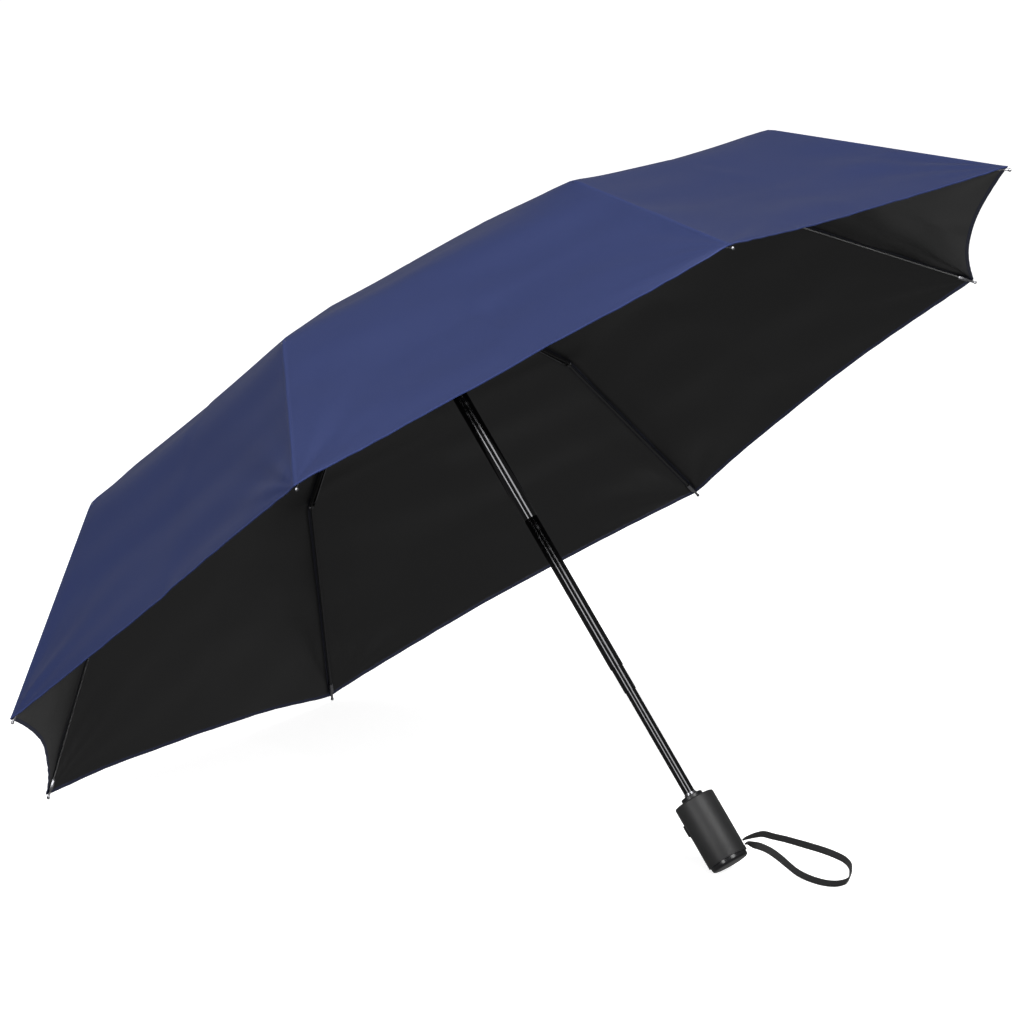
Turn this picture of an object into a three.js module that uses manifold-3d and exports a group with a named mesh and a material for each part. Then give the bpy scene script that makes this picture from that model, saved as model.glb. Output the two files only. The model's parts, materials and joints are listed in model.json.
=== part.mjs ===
// A three-fold folding umbrella, open and lying on its rim and its handle.
// Units are millimetres. The umbrella is built upright in a frame of its own, where the shaft lies on Z,
// the crown pivots lie in the plane z = 0 and the handle hangs below, and is then laid down on z = 0.
import * as THREE from "three";
import { mergeVertices } from "three/addons/utils/BufferGeometryUtils.js";
import Module from "manifold-3d";

const wasm = await Module();
wasm.setup();

// ---------------------------------------------------------------- driving dimensions

const clearance = 0.3; // between two pieces that touch on the real object
const roundSides = 24; // facets round the shaft, the handle and the crown

// Ribs: distances between pivots, and slopes below level with the umbrella open.
const ribCount = 8;
const topRibLength = 171.5;
const midRibLength = 161;
const tailRibLength = 203;
const topRibSlope = 9.2;
const midRibSlope = 12.9;
const tailRibSlope = 41;
const channelWidth = 4;
const channelHeight = 3.4;
const channelWall = 0.5;
const crownPinBelowWeb = 1.5; // the pivots lie this far below or above the outside of the channel's web
const elbowPinAboveWeb = 0.6;
const tailPinBelowWeb = 2.1;
const elbowPinRadius = 0.7;
const knuckleRadius = 1.5;
const tailRodRadius = 1.2;
const tailEyeRadius = 1.9;

// Stretchers, from a pivot inside each top rib to the runner.
const stretcherPivotAlongRib = 85;
const stretcherPivotBelowPin = 0.6;
const stretcherLength = 98;
const stretcherWidth = channelWidth - 2 * (channelWall + clearance);
const stretcherHeight = 2.4;
const stretcherPinRadius = 0.45;

// Rib tips.
const tipBeadRadius = 1.5;
const tipNeckRadius = 1.1;
const tipSleeveRadius = 2;
const tipSleeveLength = 9;
const tipNeckLength = 7;

// Crown.
const crownPivotOutsideTube = 4.05;
const crownWireRadius = 0.5;
const hubOutsidePivot = 3;
const hubTop = 3.2;
const hubBottom = -4.5;
const studRadius = 2.6;
const studFlangeRadius = 9;
const studPlugLength = 12;
const capRadius = 11;
const capHeight = 4.2;
const flangeThickness = 1.2;

// Shaft: the top tube's radius, walls, visible lengths with the shaft drawn out, and overlaps.
const topTubeRadius = 6.45;
const topTubeEndStep = 0.3;
const topTubeEndWall = 0.2;
const topTubeEndLength = 20.4;
const topTubeLength = 225.2;
const topTubeAboveCrown = 3;
const secondTubeShown = 142.3;
const thirdTubeShown = 22;
const lowerTubeShown = 99;
const lowerTubeWall = 0.5;
const thinWall = 0.3;
const tubeGap = 0.25;
const tubeOverlap = 40;
const secondTubePlug = 3;
const tubeEndChamfer = 0.25;

// Each tube slides inside the one above it.
const topTubeEndRadius = topTubeRadius - topTubeEndStep;
const secondTubeRadius = topTubeEndRadius - topTubeEndWall - tubeGap;
const thirdTubeRadius = secondTubeRadius - thinWall - tubeGap;
const lowerTubeRadius = thirdTubeRadius - thinWall - tubeGap;

const crownPivotRadius = topTubeRadius + crownPivotOutsideTube;
const hubRadius = crownPivotRadius + hubOutsidePivot;

// Runner.
const runnerWall = 1.65;
const runnerPivotOutsideSleeve = 2;
const runnerFlangeOutsidePivot = 2.8;
const runnerFlangeHeight = 6;
const runnerSleeveLength = 31;
const runnerGripProud = 1.6;
const runnerGripHeight = 3;

const runnerBore = topTubeRadius + clearance;
const runnerSleeveRadius = runnerBore + runnerWall;
const runnerGripRadius = runnerSleeveRadius + runnerGripProud;
const runnerPivotRadius = runnerSleeveRadius + runnerPivotOutsideSleeve;
const runnerFlangeRadius = runnerPivotRadius + runnerFlangeOutsidePivot;

// Handle.
const handleRadius = 17.5;
const handleWall = 2.5;
const handleLength = 56;
const handleTopFillet = 1.5;
const handleTopThickness = 3;
const collarLip = 1.9;
const collarHeight = 4;
const collarNeckWall = 2.6;
const collarNeckLength = 8;
const endCapStep = 1.2; // the end cap stands in from the handle's side
const endCapThickness = 4.4;
const endCapFillet = 2.5;
const endCapPlugLength = 3.7;
const endCapPlugWall = 1.7;
const coreGap = 0.6; // between the core and the shell and end cap round it
const tubeDepthInCore = 32;

const collarNeckRadius = lowerTubeRadius + clearance + collarNeckWall;
const collarRadius = collarNeckRadius + collarLip;
const endCapRadius = handleRadius - endCapStep;
const coreRadius = handleRadius - handleWall - coreGap;

// Push button, its spring and the latch behind it.
const buttonAzimuth = 40;
const buttonBelowTop = 20;
const buttonLength = 10;
const buttonWidth = 8;
const buttonProud = 1.2;
const buttonTravel = 2;
const buttonFlange = 1.2;
const buttonFlangeThickness = 2.6;
const buttonSpringRadius = 2;
const buttonSpringWire = 0.3;
const buttonSpringTurns = 5;
const pocketFloorWall = 1.3;
const pocketFloor = lowerTubeRadius + clearance + pocketFloorWall;
const latchThickness = 1.2;
const latchWidth = 5;
const latchLength = 13;

// Wrist strap, and the slot and pin that hold it.
const strapAzimuth = 220;
const strapAboveBottom = 5.5;
const strapSlotWidth = 6.6;
const strapSlotHeight = 4.6;
const strapPinRadius = 0.6;
const strapPinLength = 9.2;
const strapPinDepth = 1.6;
const strapTubeRadius = 1.7;
const strapEndSpacing = 4;

// Shaft spring.
const shaftSpringGap = 0.8; // from the second tube's bore to the middle of the wire
const shaftSpringWire = 0.55;
const shaftSpringRadius = secondTubeRadius - thinWall - shaftSpringGap;
const shaftSpringTurns = 10;

// Canopy.
const canopyThickness = 0.4;
const canopyHole = studRadius + clearance;
const hemToTip = 10; // from a tip's bead to the hem, along the tail rib
const goreDivisions = 4;
const sagAtElbow = 4; // how far the cloth falls in, halfway between two ribs
const sagAtTail = 9;
const sagAlongTail = 11;
const hemInset = 14;

// ---------------------------------------------------------------- helpers

const radians = THREE.MathUtils.degToRad;

// A closed geometry as a solid that can be joined and cut.
function solid(geometry) {
  const loose = geometry.index ? geometry.toNonIndexed() : geometry.clone();
  loose.deleteAttribute("normal");
  loose.deleteAttribute("uv");
  const merged = mergeVertices(loose, 1e-4);
  return new wasm.Manifold(
    new wasm.Mesh({
      numProp: 3,
      vertProperties: merged.attributes.position.array,
      triVerts: new Uint32Array(merged.index.array),
    }),
  );
}

function geometryOf(manifold) {
  const mesh = manifold.getMesh();
  const geometry = new THREE.BufferGeometry();
  geometry.setAttribute("position", new THREE.BufferAttribute(mesh.vertProperties, 3));
  geometry.setIndex(new THREE.BufferAttribute(mesh.triVerts, 1));
  geometry.computeVertexNormals();
  return geometry;
}

function join(...geometries) {
  const joined = geometries.map(solid).reduce((whole, part) => whole.add(part));
  return geometryOf(joined);
}

function cut(geometry, ...tools) {
  const left = tools.map(solid).reduce((whole, tool) => whole.subtract(tool), solid(geometry));
  return geometryOf(left);
}

function block(x0, x1, y0, y1, z0, z1) {
  const geometry = new THREE.BoxGeometry(x1 - x0, y1 - y0, z1 - z0);
  return geometry.translate((x0 + x1) / 2, (y0 + y1) / 2, (z0 + z1) / 2);
}

// A round bar along Y, centred on y = 0.
function crossBar(radius, width, x, z, sides = 8) {
  return new THREE.CylinderGeometry(radius, radius, width, sides).translate(x, 0, z);
}

// A solid of revolution about Z. Profile points are [radius, z], anticlockwise with z up the page.
function turned(profile, sides = roundSides) {
  const points = profile.map(([radius, z]) => new THREE.Vector2(radius, z));
  return new THREE.LatheGeometry(points, sides).rotateX(Math.PI / 2);
}

// Points on a quarter round from one angle to another, in degrees, for a turned profile.
function roundPoints(centreRadius, centreZ, radius, from, to, steps = 3) {
  return Array.from({ length: steps + 1 }, (_, i) => {
    const angle = radians(from + ((to - from) * i) / steps);
    return [centreRadius + radius * Math.cos(angle), centreZ + radius * Math.sin(angle)];
  });
}

// A pipe about Z, open at both ends.
function pipe(outer, inner, bottom, top, chamfer = 0) {
  const profile = [
    [inner, bottom],
    [outer - chamfer, bottom],
    [outer, bottom + chamfer],
    [outer, top],
    [inner, top],
    [inner, bottom],
  ];
  return turned(chamfer ? profile : profile.filter((_, i) => i !== 1));
}

// A shape in the plane across X, extruded from x0 to x1. Its own x becomes Y and its own y becomes Z.
function alongX(shape, x0, x1) {
  const geometry = new THREE.ExtrudeGeometry(shape, { depth: x1 - x0, bevelEnabled: false });
  const axes = new THREE.Matrix4().makeBasis(
    new THREE.Vector3(0, 1, 0),
    new THREE.Vector3(0, 0, 1),
    new THREE.Vector3(1, 0, 0),
  );
  return geometry.applyMatrix4(axes).translate(x0, 0, 0);
}

function polygonShape(points) {
  return new THREE.Shape(points.map(([x, y]) => new THREE.Vector2(x, y)));
}

// A folded sheet-metal channel, open below, with the outside of its web at webTop.
function channel(x0, x1, webTop) {
  const half = channelWidth / 2;
  const inner = half - channelWall;
  const bottom = webTop - channelHeight;
  const underWeb = webTop - channelWall;
  const section = polygonShape([
    [-half, bottom],
    [-inner, bottom],
    [-inner, underWeb],
    [inner, underWeb],
    [inner, bottom],
    [half, bottom],
    [half, webTop],
    [-half, webTop],
  ]);
  return alongX(section, x0, x1);
}

class Helix extends THREE.Curve {
  constructor(radius, bottom, top, turns) {
    super();
    Object.assign(this, { radius, bottom, top, turns });
  }

  getPoint(t, target = new THREE.Vector3()) {
    const angle = 2 * Math.PI * this.turns * t;
    const z = THREE.MathUtils.lerp(this.bottom, this.top, t);
    return target.set(this.radius * Math.cos(angle), this.radius * Math.sin(angle), z);
  }
}

function roundSection(radius, sides) {
  return polygonShape(
    Array.from({ length: sides }, (_, i) => {
      const angle = (2 * Math.PI * i) / sides;
      return [radius * Math.cos(angle), radius * Math.sin(angle)];
    }),
  );
}

function wireAlong(curve, radius, sides, steps) {
  return new THREE.ExtrudeGeometry(roundSection(radius, sides), {
    steps,
    extrudePath: curve,
    bevelEnabled: false,
  });
}

function spring(meanRadius, wireRadius, bottom, top, turns) {
  const stepsPerTurn = 8;
  const path = new Helix(meanRadius, bottom, top, turns);
  return wireAlong(path, wireRadius, 4, turns * stepsPerTurn);
}

function piece(name, geometry, finish) {
  const mesh = new THREE.Mesh(geometry, new THREE.MeshStandardMaterial(finish));
  mesh.name = name;
  return mesh;
}

function groupAt(x, y, z, children = []) {
  const group = new THREE.Group();
  group.position.set(x, y, z);
  if (children.length) group.add(...children);
  return group;
}

// ---------------------------------------------------------------- finishes

const navyCloth = { color: 0x2f3a69, roughness: 0.6, metalness: 0 };
const blackSteel = { color: 0x0c0c0e, roughness: 0.28, metalness: 0.6 };
const blackEnamel = { color: 0x08080a, roughness: 0.15, metalness: 0.5 };
const brightSteel = { color: 0xb9bcc0, roughness: 0.25, metalness: 1 };
const springSteel = { color: 0x8f9296, roughness: 0.35, metalness: 1 };
const blackPlastic = { color: 0x141416, roughness: 0.5, metalness: 0 };
const handleRubber = { color: 0x1d1d1f, roughness: 0.6, metalness: 0 };
const blackWebbing = { color: 0x0d0d0e, roughness: 0.8, metalness: 0 };

// ---------------------------------------------------------------- ribs

const legInside = channelWidth / 2 - channelWall;
const tongueWidth = 2 * (legInside - clearance);
const elbowPinHeight = crownPinBelowWeb + elbowPinAboveWeb;
const knuckleGap = knuckleRadius + clearance;

// Top rib: its origin is the crown pivot, and its outer end is a fork for the mid rib.
function topRibGeometry() {
  const forkEnd = topRibLength + knuckleRadius;
  const forkStart = topRibLength - knuckleRadius;
  const webEnd = topRibLength - knuckleGap;
  const legBottom = crownPinBelowWeb - channelHeight;
  const lugs = [-1, 1].flatMap((side) => {
    const y0 = side > 0 ? legInside : -channelWidth / 2;
    const y1 = side > 0 ? channelWidth / 2 : -legInside;
    const lug = block(forkStart, forkEnd, y0, y1, legBottom, elbowPinHeight);
    const knuckle = crossBar(knuckleRadius, channelWall, topRibLength, elbowPinHeight);
    return [lug, knuckle.translate(0, (y0 + y1) / 2, 0)];
  });
  const elbowPin = crossBar(elbowPinRadius, channelWidth, topRibLength, elbowPinHeight);
  const stretcherPin = crossBar(
    stretcherPinRadius,
    channelWidth,
    stretcherPivotAlongRib,
    -stretcherPivotBelowPin,
    6,
  );
  const body = channel(-1, webEnd, crownPinBelowWeb);
  const legs = [-1, 1].map((side) => {
    const y0 = side > 0 ? legInside : -channelWidth / 2;
    return block(webEnd - 1, forkStart + 1, y0, y0 + channelWall, legBottom, crownPinBelowWeb);
  });
  const wireHole = crossBar(crownWireRadius + 0.4, 2 * channelWidth, 0, 0);
  return cut(join(body, ...legs, ...lugs, elbowPin, stretcherPin), wireHole);
}

// Mid rib: its origin is the elbow pin, a tongue holds it there, and its outer end is a fork for the tail.
function midRibGeometry() {
  const webTop = -elbowPinAboveWeb;
  const start = knuckleRadius + 0.7;
  const tailPinHeight = webTop - tailPinBelowWeb;
  const webEnd = midRibLength - tailEyeRadius - clearance;
  const legBottom = webTop - channelHeight;
  const body = channel(start, webEnd, webTop);
  const legs = [-1, 1].map((side) => {
    const y0 = side > 0 ? legInside : -channelWidth / 2;
    const y1 = y0 + channelWall;
    return block(webEnd - 1, midRibLength + tailEyeRadius, y0, y1, legBottom, webTop);
  });
  const half = tongueWidth / 2;
  const eye = crossBar(knuckleRadius, tongueWidth, 0, 0);
  const neck = block(0, start + 4, -half, half, webTop - channelWall - 0.9, -elbowPinAboveWeb + 0.3);
  const root = block(start, start + 4, -legInside - 0.1, legInside + 0.1, webTop - 1.4, webTop - 0.1);
  const tailPin = crossBar(elbowPinRadius, channelWidth, midRibLength, tailPinHeight);
  const eyeHole = crossBar(elbowPinRadius + clearance, 2 * tongueWidth, 0, 0);
  return join(cut(join(body, neck, root, eye), eyeHole), ...legs, tailPin);
}

// Tail rib: a round rod from an eye at the tail pin to the tip.
const rodEnd = tailRibLength - tipNeckLength - 1;

function tailRibGeometry() {
  const rod = new THREE.CylinderGeometry(tailRodRadius, tailRodRadius, rodEnd - 0.8, 8);
  rod.rotateZ(-Math.PI / 2).translate((rodEnd + 0.8) / 2, 0, 0);
  const eye = crossBar(tailEyeRadius, tongueWidth, 0, 0, 10);
  const hole = crossBar(elbowPinRadius + clearance, 2 * tongueWidth, 0, 0);
  return cut(join(eye, rod), hole);
}

// Tip: a turned ferrule with a bead, whose sleeve takes the end of the tail rod.
function tipGeometry() {
  const neckStart = tailRibLength - tipNeckLength;
  const sleeveStart = neckStart - tipSleeveLength;
  const bore = tailRodRadius + clearance;
  const bead = roundPoints(0, tailRibLength, tipBeadRadius, -45, 90, 3);
  const profile = [
    [0, neckStart - 0.7],
    [bore, neckStart - 0.7],
    [bore, sleeveStart],
    [tipSleeveRadius, sleeveStart],
    [tipSleeveRadius, neckStart - 0.5],
    [tipNeckRadius, neckStart + 0.8],
    [tipNeckRadius, tailRibLength - 1.3],
    ...bead.slice(0, -1),
    [0, tailRibLength + tipBeadRadius],
  ];
  return turned(profile, 8).rotateY(Math.PI / 2);
}

// Stretcher: a bar with an eye at each end, from its pivot in the top rib back to the runner.
function stretcherGeometry() {
  const half = stretcherWidth / 2;
  const r = stretcherHeight / 2;
  const bar = block(0, stretcherLength, -half, half, -r, r);
  const eyes = [0, stretcherLength].map((x) => crossBar(r, stretcherWidth, x, 0));
  const holes = [0, stretcherLength].map((x) => crossBar(stretcherPinRadius + clearance, 8, x, 0, 6));
  return cut(join(bar, ...eyes), ...holes);
}

// ---------------------------------------------------------------- places of the pivots at rest

// A point [along, up] in a rib's own frame, seen in the plane of the rib as [radius, z].
function placed([originRadius, originZ], slope, [along, up]) {
  const angle = radians(slope);
  return [
    originRadius + along * Math.cos(angle) + up * Math.sin(angle),
    originZ - along * Math.sin(angle) + up * Math.cos(angle),
  ];
}

const tailPinPlace = [midRibLength, -elbowPinAboveWeb - tailPinBelowWeb];
const crownPivot = [crownPivotRadius, 0];
const elbowPivot = placed(crownPivot, topRibSlope, [topRibLength, elbowPinHeight]);
const tailPivot = placed(elbowPivot, midRibSlope, tailPinPlace);
const tipPoint = placed(tailPivot, tailRibSlope, [tailRibLength, 0]);
const stretcherPlace = [stretcherPivotAlongRib, -stretcherPivotBelowPin];
const stretcherPivot = placed(crownPivot, topRibSlope, stretcherPlace);
const stretcherRun = stretcherPivot[0] - runnerPivotRadius;
const stretcherDrop = Math.sqrt(stretcherLength ** 2 - stretcherRun ** 2);
const runnerZ = stretcherPivot[1] - stretcherDrop;
const stretcherSlope = 180 - THREE.MathUtils.radToDeg(Math.asin(stretcherDrop / stretcherLength));

const topTubeTop = topTubeAboveCrown;
const topTubeBottom = topTubeTop - topTubeLength;
const secondTubeBottom = topTubeBottom - secondTubeShown;
const thirdTubeBottom = secondTubeBottom - thirdTubeShown;
const collarTop = thirdTubeBottom - lowerTubeShown;
const handleTop = collarTop - collarHeight;
const shellBottom = handleTop - handleLength;
const endCapTop = shellBottom - clearance;
const endCapBottom = endCapTop - endCapThickness;
const coreTop = handleTop - handleTopThickness - collarNeckLength + 2;
const coreBottom = endCapTop + endCapPlugLength + coreGap;
const lowerTubeBottom = coreTop - tubeDepthInCore;

// ---------------------------------------------------------------- ribs, stretchers and tips

const ribGeometries = {
  top: topRibGeometry(),
  mid: midRibGeometry(),
  tail: tailRibGeometry(),
  tip: tipGeometry(),
  stretcher: stretcherGeometry(),
};

function ribSet(number) {
  const tail = groupAt(tailPinPlace[0], 0, tailPinPlace[1], [
    piece(`tail_rib_${number}`, ribGeometries.tail, blackSteel),
    piece(`rib_tip_${number}`, ribGeometries.tip, brightSteel),
  ]);
  tail.rotation.y = radians(tailRibSlope - midRibSlope);
  const mid = groupAt(topRibLength, 0, elbowPinHeight, [
    piece(`mid_rib_${number}`, ribGeometries.mid, blackSteel),
    tail,
  ]);
  mid.rotation.y = radians(midRibSlope - topRibSlope);
  const stretcher = groupAt(stretcherPlace[0], 0, stretcherPlace[1], [
    piece(`stretcher_${number}`, ribGeometries.stretcher, blackSteel),
  ]);
  stretcher.rotation.y = radians(stretcherSlope - topRibSlope);
  const top = groupAt(crownPivotRadius, 0, 0, [
    piece(`top_rib_${number}`, ribGeometries.top, blackSteel),
    mid,
    stretcher,
  ]);
  top.rotation.y = radians(topRibSlope);
  const plane = groupAt(0, 0, 0, [top]);
  plane.rotation.z = ribAzimuth(number);
  return plane;
}

// The ribs stand either side of the X axis, so that the umbrella lies on two tips and its handle.
function ribAzimuth(number) {
  return (2 * Math.PI * (number - 0.5)) / ribCount;
}

// ---------------------------------------------------------------- crown

function crownHub() {
  const bore = topTubeRadius + clearance;
  const ring = pipe(hubRadius, bore, hubBottom, hubTop);
  const legCorner = Math.hypot(1, channelHeight - crownPinBelowWeb);
  const slotFloor = crownPivotRadius - legCorner - clearance;
  const slotHalf = channelWidth / 2 + clearance;
  const slots = Array.from({ length: ribCount }, (_, i) =>
    block(slotFloor, 2 * hubRadius, -slotHalf, slotHalf, 2 * hubBottom, 2 * hubTop).rotateZ(
      ribAzimuth(i + 1),
    ),
  );
  const wireGroove = new THREE.TorusGeometry(crownPivotRadius, crownWireRadius + clearance, 5, 40);
  return piece("crown_hub", cut(ring, ...slots, wireGroove), blackPlastic);
}

function crownWire() {
  const ring = new THREE.TorusGeometry(crownPivotRadius, crownWireRadius, 5, 40);
  return piece("crown_wire", ring, springSteel);
}

const studFlangeBottom = Math.max(hubTop, topTubeTop) + clearance;
const studFlangeTop = studFlangeBottom + flangeThickness;
const canopyCrownZ = studFlangeTop + clearance;
const capBottom = canopyCrownZ + canopyThickness + clearance;
const studTop = capBottom + capHeight / 2;

function crownStud() {
  const plugRadius = topTubeRadius - lowerTubeWall - clearance;
  const profile = [
    [0, studFlangeBottom - studPlugLength],
    [plugRadius, studFlangeBottom - studPlugLength],
    [plugRadius, studFlangeBottom],
    [studFlangeRadius, studFlangeBottom],
    [studFlangeRadius, studFlangeTop],
    [studRadius, studFlangeTop],
    [studRadius, studTop],
    [0, studTop],
  ];
  return piece("crown_stud", turned(profile), brightSteel);
}

function topCap() {
  const bore = studRadius + clearance;
  const edge = 1;
  const top = capBottom + capHeight;
  const dome = [
    [capRadius, capBottom + edge],
    [capRadius - 0.8, capBottom + 0.55 * capHeight],
    [capRadius - 3.2, capBottom + 0.85 * capHeight],
    [capRadius - 6, top],
    [0, top],
  ];
  const profile = [
    [0, studTop + clearance],
    [bore, studTop + clearance],
    [bore, capBottom],
    [capRadius - 0.5, capBottom],
    ...dome,
  ];
  return piece("top_cap", turned(profile), blackPlastic);
}

// ---------------------------------------------------------------- shaft

function topTube() {
  const bore = topTubeRadius - lowerTubeWall;
  const endBore = secondTubeRadius + tubeGap;
  const step = topTubeBottom + topTubeEndLength;
  const profile = [
    [endBore, topTubeBottom],
    [topTubeEndRadius - tubeEndChamfer / 2, topTubeBottom],
    [topTubeEndRadius, topTubeBottom + tubeEndChamfer],
    [topTubeEndRadius, step - 0.6],
    [topTubeRadius, step],
    [topTubeRadius, topTubeTop],
    [bore, topTubeTop],
    [bore, step],
    [endBore, step - 0.6],
    [endBore, topTubeBottom],
  ];
  return piece("top_tube", turned(profile), blackEnamel);
}

const secondTubeTop = topTubeBottom + tubeOverlap;

function secondTube() {
  const bore = secondTubeRadius - thinWall;
  const profile = [
    [bore, secondTubeBottom],
    [secondTubeRadius - tubeEndChamfer, secondTubeBottom],
    [secondTubeRadius, secondTubeBottom + tubeEndChamfer],
    [secondTubeRadius, secondTubeTop],
    [0, secondTubeTop],
    [0, secondTubeTop - secondTubePlug],
    [bore, secondTubeTop - secondTubePlug],
    [bore, secondTubeBottom],
  ];
  return piece("second_tube", turned(profile), blackEnamel);
}

function thirdTube() {
  const top = secondTubeBottom + tubeOverlap;
  const bore = thirdTubeRadius - thinWall;
  const tube = pipe(thirdTubeRadius, bore, thirdTubeBottom, top, tubeEndChamfer / 2);
  return piece("third_tube", tube, blackEnamel);
}

function lowerTube() {
  const top = thirdTubeBottom + tubeOverlap;
  const tube = pipe(lowerTubeRadius, lowerTubeRadius - lowerTubeWall, lowerTubeBottom, top);
  return piece("lower_tube", tube, blackEnamel);
}

function shaftSpring() {
  const bottom = secondTubeTop + clearance + shaftSpringWire;
  const top = studFlangeBottom - studPlugLength - clearance - shaftSpringWire;
  const coil = spring(shaftSpringRadius, shaftSpringWire, bottom, top, shaftSpringTurns);
  return piece("shaft_spring", coil, springSteel);
}

// ---------------------------------------------------------------- runner

function runner() {
  const flangeTop = runnerFlangeHeight / 2;
  const flangeBottom = -runnerFlangeHeight / 2;
  const sleeveBottom = flangeBottom - runnerSleeveLength;
  const gripTop = sleeveBottom + runnerGripHeight;
  const profile = [
    [runnerBore, sleeveBottom],
    [runnerGripRadius, sleeveBottom],
    [runnerGripRadius, gripTop],
    [runnerSleeveRadius, gripTop + 1],
    [runnerSleeveRadius, flangeBottom],
    [runnerFlangeRadius, flangeBottom],
    [runnerFlangeRadius, flangeTop],
    [runnerBore, flangeTop],
    [runnerBore, sleeveBottom],
  ];
  const slotFloor = runnerPivotRadius - stretcherHeight / 2 - clearance;
  const slotHalf = stretcherWidth / 2 + clearance;
  const slots = Array.from({ length: ribCount }, (_, i) =>
    block(slotFloor, 2 * runnerFlangeRadius, -slotHalf, slotHalf, flangeBottom - 1, flangeTop + 1).rotateZ(
      ribAzimuth(i + 1),
    ),
  );
  const mesh = piece("runner", cut(turned(profile), ...slots), blackPlastic);
  mesh.position.z = runnerZ;
  return mesh;
}

// ---------------------------------------------------------------- handle

// A box in the handle's own directions: out from the shaft, round it and along it.
function handleBlock(azimuth, out0, out1, width, z0, z1) {
  return block(out0, out1, -width / 2, width / 2, z0, z1).rotateZ(radians(azimuth));
}

const buttonZ = handleTop - buttonBelowTop;
const strapZ = shellBottom + strapAboveBottom;
const flangeCorner = buttonWidth / 2 + buttonFlange;
const flangeFront = Math.sqrt((handleRadius - handleWall) ** 2 - flangeCorner ** 2) - clearance;
const buttonBack = flangeFront - buttonFlangeThickness;
const strapPinOut = handleRadius - strapPinDepth;

function handleShell() {
  const inner = handleRadius - handleWall;
  const mouth = collarNeckRadius + clearance;
  const fillet = handleTopFillet;
  const profile = [
    [inner, shellBottom],
    [handleRadius, shellBottom],
    ...roundPoints(handleRadius - fillet, handleTop - fillet, fillet, 0, 90),
    [mouth, handleTop],
    [mouth, handleTop - handleTopThickness],
    [inner, handleTop - handleTopThickness],
    [inner, shellBottom],
  ];
  const gap = 2 * clearance;
  const window = handleBlock(
    buttonAzimuth,
    inner - 3,
    handleRadius + 3,
    buttonWidth + gap,
    buttonZ - buttonLength / 2 - clearance,
    buttonZ + buttonLength / 2 + clearance,
  );
  const slot = handleBlock(
    strapAzimuth,
    inner - 3,
    handleRadius + 3,
    strapSlotWidth,
    strapZ - strapSlotHeight / 2,
    strapZ + strapSlotHeight / 2,
  );
  const pinHole = strapPinBar(strapPinRadius + clearance, strapPinLength + gap);
  return piece("handle_shell", cut(turned(profile), window, slot, pinHole), handleRubber);
}

function strapPinBar(radius, length) {
  const bar = crossBar(radius, length, strapPinOut, strapZ, 10);
  return bar.rotateZ(radians(strapAzimuth));
}

function handleCollar() {
  const bore = lowerTubeRadius + clearance;
  const seat = handleTop + clearance;
  const neckBottom = handleTop - collarNeckLength;
  const profile = [
    [bore, neckBottom],
    [collarNeckRadius, neckBottom],
    [collarNeckRadius, seat],
    [collarRadius, seat],
    ...roundPoints(collarRadius - 1, collarTop - 1, 1, 0, 90),
    [bore, collarTop],
    [bore, neckBottom],
  ];
  return piece("handle_collar", turned(profile), blackPlastic);
}

function handleCore() {
  const bore = lowerTubeRadius + clearance;
  const boreBottom = lowerTubeBottom - clearance;
  const neckSeat = handleTop - collarNeckLength - clearance;
  const profile = [
    [0, coreBottom],
    [coreRadius, coreBottom],
    [coreRadius, Math.min(coreTop, handleTop - handleTopThickness - clearance)],
    [collarNeckRadius + clearance, Math.min(coreTop, handleTop - handleTopThickness - clearance)],
    [collarNeckRadius + clearance, neckSeat],
    [bore, neckSeat],
    [bore, boreBottom],
    [0, boreBottom],
  ];
  const room = 2 * (buttonFlange + clearance);
  const buttonPocket = handleBlock(
    buttonAzimuth,
    pocketFloor,
    2 * coreRadius,
    buttonWidth + room,
    buttonZ - buttonLength / 2 - buttonFlange - clearance,
    buttonZ + buttonLength / 2 + buttonFlange + clearance,
  );
  const latchTop = buttonZ - buttonLength / 2 - buttonFlange;
  const latchPocket = handleBlock(
    buttonAzimuth,
    buttonBack - buttonTravel - clearance,
    2 * coreRadius,
    latchWidth + 2 * clearance,
    latchTop - latchLength - 2 * clearance,
    latchTop,
  );
  const strapPocket = handleBlock(
    strapAzimuth,
    coreRadius - 2,
    2 * coreRadius,
    strapPinLength + 1,
    coreBottom - 1,
    strapZ + strapSlotHeight / 2,
  );
  const core = cut(turned(profile), buttonPocket, latchPocket, strapPocket);
  return piece("handle_core", core, blackPlastic);
}

function handleEndCap() {
  const plugRadius = handleRadius - handleWall - clearance;
  const plugTop = endCapTop + endCapPlugLength;
  const profile = [
    [0, endCapBottom],
    ...roundPoints(endCapRadius - endCapFillet, endCapBottom + endCapFillet, endCapFillet, -90, 0, 4),
    [endCapRadius, endCapTop],
    [plugRadius, endCapTop],
    [plugRadius, plugTop],
    [plugRadius - endCapPlugWall, plugTop],
    [plugRadius - endCapPlugWall, endCapTop],
    [0, endCapTop],
  ];
  return piece("handle_end_cap", turned(profile), blackPlastic);
}

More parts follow.
